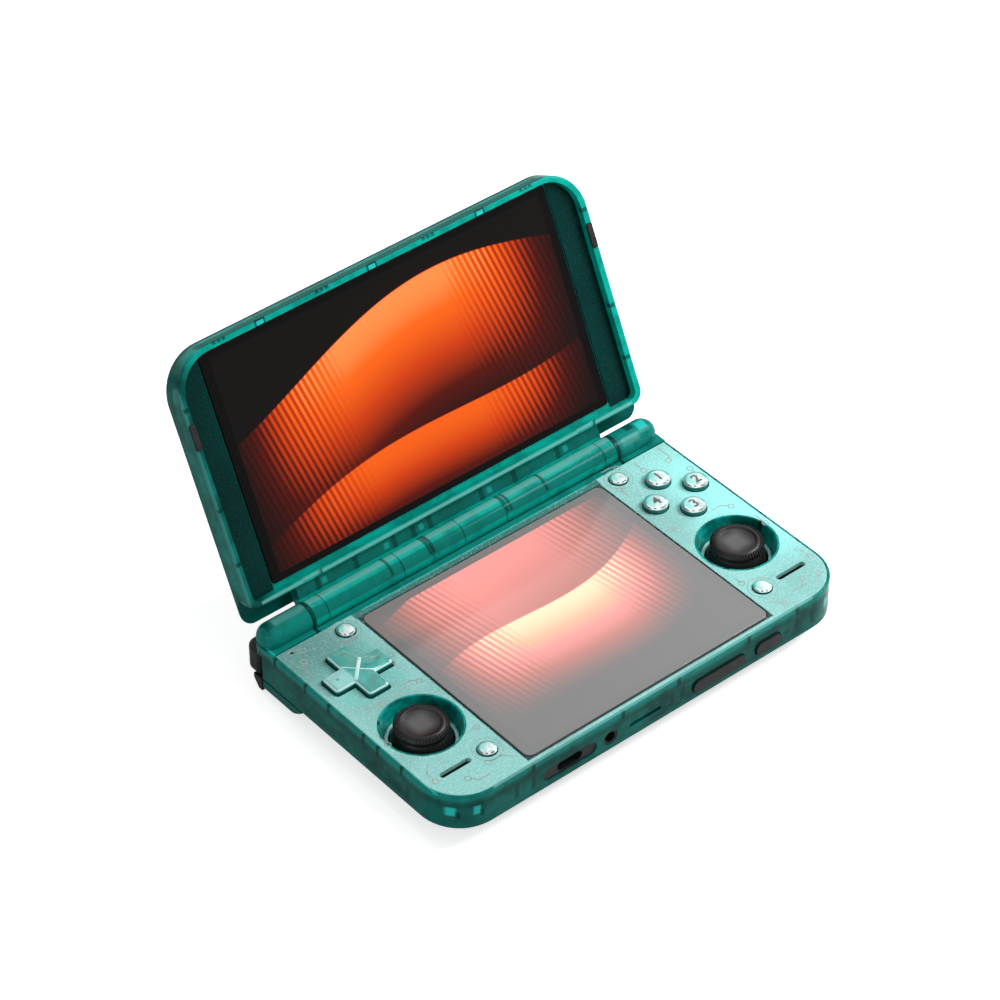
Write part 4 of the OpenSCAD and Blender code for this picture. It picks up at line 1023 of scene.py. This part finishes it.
@dataclass
class ThumbStick:
    """Rubber thumb stick with a dished top, a ribbed shoulder and a domed skirt.

    Attributes:
        side: the half of the console that it stands on.
        across: distance of its middle from the console's middle.
        back: distance of its middle in front of the hinge axis.
        rise: height of its rim above the deck.
        cap_r: radius of the cap.
        dish_r: radius of the dished top.
        skirt_r: radius of the domed skirt.
        wall: thickness of the skirt.
        pivot: depth of the skirt's centre below the deck.
        stem_r: radius of the stem under the cap.
        stem_low: depth of the stem's end below the deck.
        shoulder: points of the cap's side, each its way in from the cap's radius and down from its rim, in
            millimetres.
        lip: points of its rim, each its way out from the dish and down, in millimetres.
        dish: points of the dish, as shares of its radius.
        dish_depth: depth of the dish's middle below the lip, in millimetres.
        ribs: number of ribs round the shoulder.
        rib: length, width and height of a rib.
    """

    side: Side
    across: float = 59.8 * MM
    back: float = 54.7 * MM
    rise: float = 1.3 * MM
    cap_r: float = 8.0 * MM
    dish_r: float = 5.7 * MM
    skirt_r: float = 9.3 * MM
    wall: float = 0.8 * MM
    pivot: float = 7.8 * MM
    stem_r: float = 1.5 * MM
    stem_low: float = 8.6 * MM
    shoulder: tuple[Spot, ...] = ((0.12, 2.4), (0.0, 1.9), (0.05, 1.5), (0.35, 0.95), (0.85, 0.45))
    lip: tuple[Spot, ...] = ((0.95, 0.14), (0.7, 0.02), (0.4, 0.0), (0.15, 0.05), (0.0, 0.22), (-0.15, 0.5),
                             (-0.35, 0.62))
    dish: tuple[float, ...] = (0.88, 0.75, 0.6, 0.45, 0.3, 0.15, 0.0)
    dish_depth: float = 0.55
    ribs: int = 56
    rib: Point = (1.6 * MM, 0.40 * MM, 0.62 * MM)

    @property
    def middle(self) -> Point:
        """Middle of the stick at the height of the deck."""
        return (self.side.value * self.across, LAYOUT.hinge_y - self.back, LAYOUT.deck_z)

    def skirt(self) -> Piece:
        """Models the skirt as a thin dome, up to the cap."""
        low = math.asin(0.3 * MM / self.skirt_r)
        high = math.asin((self.pivot + self.rise - 2.8 * MM) / self.skirt_r)
        angles = [low + (high - low) * i / 12 for i in range(13)]
        r = self.skirt_r
        dome = revolve([(r * math.cos(a), r * math.sin(a) - self.pivot) for a in angles], 96)
        solidify = dome.modifiers.new("wall", "SOLIDIFY")
        solidify.thickness = self.wall
        solidify.offset = -1.0
        apply_modifiers(dome)
        return dome

    def cap(self) -> Piece:
        """Models the cap's side, its rim and the dish inside it."""
        top = self.rise
        under = [(6.9 * MM, top - 3.05 * MM), (7.5 * MM, top - 2.95 * MM)]
        side = [(self.cap_r - inward * MM, top - down * MM) for inward, down in self.shoulder]
        rim = [(self.dish_r + outward * MM, top - down * MM) for outward, down in self.lip]
        low, edge = self.lip[-1][1], self.dish[0]
        dish = [(self.dish_r * share, top - (low + self.dish_depth * (1 - share * share / edge)) * MM)
                for share in self.dish]
        return revolve(under + side + rim + dish, 132)

    def stem(self) -> Piece:
        """Models the stem that joins the cap to the module below."""
        low = -self.stem_low
        return revolve([(0.0, low), (self.stem_r - 0.2 * MM, low), (self.stem_r, low + 0.2 * MM),
                        (self.stem_r, -0.4 * MM)], 24)

    def shoulder_ribs(self) -> Piece:
        """Models one rib on the shoulder and copies it round the cap."""
        rib = block(self.rib, 0.12 * MM)
        fix(rib, (self.cap_r - 0.52 * MM, 0.0, self.rise - 0.78 * MM), (0.0, math.radians(48), 0.0))
        with editing(rib):
            bpy.ops.mesh.select_all(action="SELECT")
            bpy.ops.mesh.spin(steps=self.ribs, angle=2 * math.pi, dupli=True, center=(0, 0, 0),
                              axis=(0, 0, 1))
        return rib

    def build(self, wardrobe: Wardrobe) -> None:
        """Builds the stick and lets it ride on its cap's body."""
        piece = join([self.cap(), self.skirt(), self.stem(), self.shoulder_ribs()])
        piece.location = self.middle
        word = self.side.word
        settle(piece, f"thumb_stick_{word}", wardrobe.of(STICK))
        smooth(piece, 40)
        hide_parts(f"stick_cap_{word}")
        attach(piece, f"stick_cap_{word}")
        LOG.info("thumb stick %s", word)


@dataclass
class Cross:
    """Four-way cross of clear plastic with bevelled arms and a parting ridge.

    Attributes:
        length: length of two arms in line.
        width: width of an arm.
        rise: height above the deck.
        root: depth below the deck.
        corner: bevel of the arms' outer corners.
        slope: width and height of the border that slopes down round the top.
        edge: bevel of every sharp edge.
        bar: length and height of a ridge bar.
        bars: turn in degrees and width of each ridge bar.
    """

    length: float = 20.4 * MM
    width: float = 7.2 * MM
    rise: float = 2.0 * MM
    root: float = 3.2 * MM
    corner: float = 1.1 * MM
    slope: float = 0.75 * MM
    edge: float = 0.16 * MM
    bar: Spot = (9.4 * MM, 0.5 * MM)
    bars: tuple[Spot, ...] = ((45, 1.15 * MM), (-45, 0.4 * MM))

    @property
    def middle(self) -> Point:
        """Middle of the cross at the height of the deck."""
        return (CROSS_X * MM, CROSS_Y * MM, LAYOUT.deck_z)

    def outline(self) -> Piece:
        """Models the cross: a block whose four sides are drawn out into arms."""
        deselect()
        bpy.ops.mesh.primitive_cube_add(size=1.0)
        obj = bpy.context.active_object
        obj.scale = (self.width, self.width, self.rise + self.root)
        fix(obj, (0.0, 0.0, (self.rise - self.root) / 2))
        draw = (self.length - self.width) / 2
        far = self.width * 0.6
        with editing(obj):
            bpy.ops.mesh.select_mode(type="FACE")
            for way in (Vector((1, 0, 0)), Vector((-1, 0, 0)), Vector((0, 1, 0)), Vector((0, -1, 0))):
                pick(obj, "faces", lambda f: f.normal.dot(way) > 0.9
                     and abs(f.calc_center_median().xy.cross(way.xy)) < 1e-6)
                bpy.ops.mesh.extrude_region_move(TRANSFORM_OT_translate={"value": way * draw})
            bpy.ops.mesh.select_mode(type="EDGE")
            pick(obj, "edges", lambda e: abs(e.verts[0].co.z - e.verts[1].co.z) > 1e-4
                 and max(abs(e.verts[0].co.x), abs(e.verts[0].co.y)) > far)
            bpy.ops.mesh.bevel(offset=self.corner, segments=4, affect="EDGES")
        return obj

    def slope_border(self, obj: Piece) -> None:
        """Draws in the top of the cross and slopes its border."""
        with editing(obj):
            bpy.ops.mesh.select_mode(type="FACE")
            pick(obj, "faces", lambda f: f.normal.z > 0.9)
            bpy.ops.mesh.inset(thickness=self.slope, depth=0.0)
            mesh = bmesh.from_edit_mesh(obj.data)
            kept = {v for f in mesh.faces if f.select for v in f.verts}
            for vert in mesh.verts:
                if vert not in kept and vert.co.z > self.rise - 1e-5:
                    vert.co.z -= self.slope
            bmesh.update_edit_mesh(obj.data)

    def body(self) -> Piece:
        """Models the cross with every edge bevelled."""
        body = self.outline()
        self.slope_border(body)
        bevel = body.modifiers.new("edges", "BEVEL")
        bevel.width = self.edge
        bevel.segments = 2
        bevel.limit_method = "ANGLE"
        apply_modifiers(body)
        return body

    def ridge(self) -> Piece:
        """Models the X-shaped ridge between the arms."""
        made = []
        for turn, wide in self.bars:
            made.append(block((self.bar[0], wide, self.bar[1]), 0.14 * MM))
            fix(made[-1], (0.0, 0.0, self.rise - 0.08 * MM), (0.0, 0.0, math.radians(turn)))
        return join(made)

    def build(self, wardrobe: Wardrobe) -> None:
        """Builds the cross and its ridge."""
        pieces = ((self.body(), "cross_body", CROSS, "cross_plastic"),
                  (self.ridge(), "cross_ridge", LIGHT_GUIDE, "light_guide"))
        for piece, name, finish, slot in pieces:
            piece.location = self.middle
            settle(piece, name, wardrobe.of(finish))
            smooth(piece, 30)
            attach(piece, "cross_button")
        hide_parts("cross_button")
        LOG.info("cross")


@dataclass
class DeckTraces:
    """Fine circuit-like rings and lines printed in the deck.

    Attributes:
        ring_r: radius of the ring at the end of a line.
        hoop_r: radius of the hoop round a small button.
        line: width of a line.
        thin: width of a hoop's line.
        lift: height of the print above the deck.
        routes: points of each line in millimetres, up to its ring.
    """

    ring_r: float = 1.05 * MM
    hoop_r: float = 4.5 * MM
    line: float = 0.30 * MM
    thin: float = 0.195 * MM
    lift: float = 0.02 * MM
    routes: tuple[tuple[Spot, ...], ...] = (
        ((-71.0, 33.5), (-68.2, 33.5), (-66.5, 31.8)),
        ((-57.6, 24.6), (-55.4, 26.6), (-52.0, 26.6)),
        ((-70.9, 22.0), (-70.9, 26.2), (-69.2, 27.9)),
        ((-50.2, 8.4), (-50.2, 12.6), (-48.6, 14.2)),
        ((-67.9, 2.2), (-66.0, 0.3), (-62.8, 0.3)),
        ((-54.0, 2.4), (-50.8, 2.4), (-49.1, 0.7)),
        ((-72.0, -8.8), (-72.0, -13.6)),
        ((-51.0, -24.2), (-48.6, -24.2)),
        ((-68.6, -27.2), (-71.0, -29.6), (-71.0, -33.4)),
        ((-57.8, -40.6), (-61.0, -40.6), (-63.4, -38.2)),
        ((-47.4, -40.2), (-50.6, -37.0), (-55.0, -37.0)),
        ((50.4, 36.0), (53.8, 36.0), (55.2, 34.6)),
        ((60.6, 32.8), (60.6, 28.6)),
        ((70.8, 33.6), (70.8, 28.8), (69.4, 27.4)),
        ((49.2, 22.6), (49.2, 26.6)),
        ((71.9, 15.8), (71.9, 20.4)),
        ((51.6, 3.2), (48.8, 3.2)),
        ((64.0, 1.9), (67.4, 1.9), (69.6, -0.3)),
        ((72.2, -8.0), (72.2, -12.4)),
        ((70.4, -26.6), (72.0, -28.2), (72.0, -31.6)),
        ((48.6, -24.8), (48.6, -27.6)),
        ((57.4, -39.6), (61.6, -39.6), (63.6, -37.6)),
        ((49.4, -38.6), (52.4, -41.6)),
        ((66.4, -41.2), (69.0, -38.6)),
    )

    def ring(self, middle: Spot, radius: float, line: float, steps: int) -> Piece:
        """Models one ring: a disc's face inset and its middle taken out.

        Args:
            middle: its middle on the deck, in metres.
            radius: its outer radius.
            line: width of its line.
            steps: corners round it.

        Returns:
            The ring.
        """
        deselect()
        bpy.ops.mesh.primitive_circle_add(vertices=steps, radius=radius, fill_type="NGON",
                                          location=(*middle, LAYOUT.deck_z + self.lift))
        obj = bpy.context.active_object
        with editing(obj):
            bpy.ops.mesh.select_mode(type="FACE")
            bpy.ops.mesh.select_all(action="SELECT")
            bpy.ops.mesh.inset(thickness=line)
            bpy.ops.mesh.delete(type="ONLY_FACE")
        return obj

    def strip(self, a: Spot, b: Spot) -> Piece:
        """Models one straight line between two places on the deck, in metres."""
        off_x, off_y = b[0] - a[0], b[1] - a[1]
        deselect()
        bpy.ops.mesh.primitive_plane_add(size=1.0)
        obj = bpy.context.active_object
        obj.scale = (math.hypot(off_x, off_y) + self.line, self.line, 1.0)
        fix(obj, ((a[0] + b[0]) / 2, (a[1] + b[1]) / 2, LAYOUT.deck_z + self.lift),
            (0.0, 0.0, math.atan2(off_y, off_x)))
        return obj

    def build(self, wardrobe: Wardrobe) -> None:
        """Builds every ring and line as one piece."""
        parts = []
        for route in self.routes:
            *points, last = [(x * MM, y * MM) for x, y in route]
            far = math.dist(last, points[-1])
            end = tuple(c - (c - before) * self.ring_r / far for c, before in zip(last, points[-1]))
            parts += [self.strip(a, b) for a, b in zip(points, (*points[1:], end))]
            parts.append(self.ring(last, self.ring_r, self.line, 20))
        for where in ("rear", "front"):
            for side in Side:
                low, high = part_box(f"small_button_{where}_{side.word}")
                middle = ((low[0] + high[0]) / 2, (low[1] + high[1]) / 2)
                parts.append(self.ring(middle, self.hoop_r, self.thin, 72))
        piece = settle(join(parts), "deck_traces", wardrobe.of(TRACE))
        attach(piece, "base")
        LOG.info("deck traces: %d routes", len(self.routes))


@dataclass
class ButtonNumber:
    """A plain number printed on the dome of one face button.

    Attributes:
        node: the button.
        number: the number.
        size: size of its type.
        bold: how far its strokes are widened.
        lift: height of the print above the dome.
        cut: side of the squares that it is cut into, so that it bends.
        cuts: cuts each way from the middle.
    """

    node: str
    number: str
    size: float = 4.8 * MM
    bold: float = 0.1 * MM
    lift: float = 0.05 * MM
    cut: float = 0.45 * MM
    cuts: int = 4

    def flat(self) -> Piece:
        """Models the number flat, cut into squares."""
        deselect()
        bpy.ops.object.text_add(location=(0.0, 0.0, 0.0))
        obj = bpy.context.active_object
        obj.data.body = self.number
        obj.data.size = self.size
        obj.data.align_x = "CENTER"
        obj.data.align_y = "CENTER"
        obj.data.offset = self.bold
        bpy.ops.object.convert(target="MESH")
        obj = bpy.context.active_object
        with editing(obj):
            for way in ((1.0, 0.0, 0.0), (0.0, 1.0, 0.0)):
                for step in range(-self.cuts, self.cuts + 1):
                    bpy.ops.mesh.select_all(action="SELECT")
                    bpy.ops.mesh.bisect(plane_co=tuple(c * step * self.cut for c in way), plane_no=way)
        return obj

    def build(self, wardrobe: Wardrobe) -> None:
        """Builds the number, bent over the button's dome."""
        low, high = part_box(self.node)
        middle = Vector(((low[0] + high[0]) / 2, (low[1] + high[1]) / 2, high[2]))
        obj = self.flat()
        spots = [v.co.copy() for v in obj.data.vertices]
        shift = Vector([(min(c) + max(c)) / 2 for c in zip(*spots)])
        dome = frame["nodes"][self.node]
        above = middle + Vector((0.0, 0.0, 2 * MM))
        for vert in obj.data.vertices:
            vert.co -= shift
            hit, spot, _, _ = dome.ray_cast(above + vert.co, Vector((0.0, 0.0, -1.0)))
            vert.co.z = (spot.z if hit else middle.z) - middle.z + self.lift
        obj.location = middle
        settle(obj, f"number_{self.number}", wardrobe.of(INK))
        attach(obj, self.node)


@dataclass
class Controls:
    """Everything the player's thumbs touch.

    Attributes:
        numbers: the number on each face button.
    """

    numbers: dict[str, str] = field(default_factory=lambda: {
        "face_button_rear": "1", "face_button_right": "2", "face_button_front": "3", "face_button_left": "4",
    })

    def build(self, wardrobe: Wardrobe) -> None:
        """Builds sticks, cross and numbers."""
        for side in Side:
            ThumbStick(side).build(wardrobe)
        Cross().build(wardrobe)
        for node, number in self.numbers.items():
            ButtonNumber(node, number).build(wardrobe)
        LOG.info("%d numbers", len(self.numbers))


# Studio


@dataclass
class Lamp:
    """A soft light that looks at the console.

    Attributes:
        name: its name.
        at: its place.
        long: its length.
        power: its power in watts.
        thin: its width, as its length if left out.
        spin: turn about its own beam, in degrees.
        aim: the place that it looks at.
    """

    name: str
    at: Point
    long: float
    power: float
    thin: float | None = None
    spin: float = 0.0
    aim: Point = (0.0, 0.0, 0.03)

    def make(self) -> None:
        """Adds the light."""
        data = bpy.data.lights.new(self.name, "AREA")
        data.shape = "RECTANGLE"
        data.size = self.long
        data.size_y = self.thin or self.long
        data.energy = self.power
        obj = bpy.data.objects.new(self.name, data)
        obj.location = self.at
        look = (Vector(self.aim) - Vector(self.at)).to_track_quat("-Z", "Y").to_matrix()
        obj.rotation_euler = (look @ Matrix.Rotation(math.radians(self.spin), 3, "Z")).to_euler()
        bpy.context.scene.collection.objects.link(obj)


@dataclass
class Studio:
    """White floor and sky, soft lights and the camera.

    Attributes:
        camera_at: place of the camera.
        look_at: the place in the middle of its view.
        lens: its focal length in millimetres, on a sensor of sensor_width.
        sensor_width: width of its sensor in millimetres.
        sky: light of the sky, against the white that the camera sees.
        floor_z: height of the floor, just under the feet.
        floor_glow: light that the floor adds in the camera's view.
        lamps: the lights.
    """

    camera_at: Point = (-0.5403, -0.6197, 0.7660)
    look_at: Point = (0.01273, 0.03881, 0.02597)
    lens: float = 138.62
    sensor_width: float = 36.0
    sky: float = 0.34
    floor_z: float = -0.2 * MM
    floor_glow: float = 0.6
    lamps: list[Lamp] = field(default_factory=lambda: [
        Lamp("key", (0.36, -0.14, 0.34), 0.24, 2.6),
        Lamp("left", (-0.55, -0.12, 0.24), 0.22, 0.7),
        Lamp("strip_across", (0.38, 0.10, 0.60), 0.70, 0.9, 0.006, aim=(0.38, 0.0, 0.0)),
        Lamp("strip_along", (-0.05, 0.42, 0.56), 0.50, 0.5, 0.006, spin=90.0, aim=(-0.05, 0.0, 0.0)),
    ])

    def camera(self) -> None:
        """Adds the camera."""
        data = bpy.data.cameras.new("camera")
        data.lens = self.lens
        data.sensor_width = self.sensor_width
        data.clip_start, data.clip_end = 0.05, 20.0
        obj = bpy.data.objects.new("camera", data)
        obj.location = self.camera_at
        aim = Vector(self.look_at) - Vector(self.camera_at)
        obj.rotation_mode = "QUATERNION"
        obj.rotation_quaternion = aim.to_track_quat("-Z", "Y")
        bpy.context.scene.collection.objects.link(obj)
        bpy.context.scene.camera = obj

    def world(self) -> None:
        """Makes the sky: white for rays that show it, plain light for the rest."""
        world = bpy.data.worlds.new("studio")
        world.use_nodes = True
        bpy.context.scene.world = world
        s = Sketch(world.node_tree)
        background = world.node_tree.nodes["Background"]
        s.put(background.inputs["Color"], (1.0, 1.0, 1.0, 1.0))
        ray = s.add("ShaderNodeLightPath").outputs
        seen = s.math("MAXIMUM", ray["Is Camera Ray"], ray["Is Glossy Ray"])
        seen = s.math("MAXIMUM", seen, ray["Is Transmission Ray"])
        s.put(background.inputs["Strength"], s.span(seen, 0.0, 1.0, self.sky, 1.0, smooth=False))

    def floor(self) -> None:
        """Adds the pale floor under the feet."""
        deselect()
        bpy.ops.mesh.primitive_plane_add(size=6.0, location=(0.0, 0.0, self.floor_z))
        obj = bpy.context.active_object
        material = bpy.data.materials.new("floor")
        material.use_nodes = True
        s = Sketch(material.node_tree)
        shader = material.node_tree.nodes["Principled BSDF"]
        s.put(shader.inputs["Base Color"], (0.93, 0.93, 0.93, 1.0))
        s.put(shader.inputs["Roughness"], 0.9)
        s.put(shader.inputs["Specular IOR Level"], 0.0)
        s.put(shader.inputs["Emission Color"], (1.0, 1.0, 1.0, 1.0))
        seen = s.add("ShaderNodeLightPath").outputs["Is Camera Ray"]
        s.put(shader.inputs["Emission Strength"], s.times(seen, self.floor_glow))
        settle(obj, "floor", material)

    def make(self) -> None:
        """Builds the studio."""
        bpy.context.scene.view_settings.view_transform = "Standard"
        self.camera()
        self.world()
        self.floor()
        for lamp in self.lamps:
            lamp.make()
        LOG.info("studio with %d lamps", len(self.lamps))


def main() -> None:
    """Builds the studio and dresses the console."""
    logging.basicConfig(level=logging.INFO, format="%(message)s")
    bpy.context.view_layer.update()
    Studio().make()
    wardrobe = Wardrobe()
    wardrobe.dress()
    Controls().build(wardrobe)
    DeckTraces().build(wardrobe)


if __name__ == "__main__":
    main()
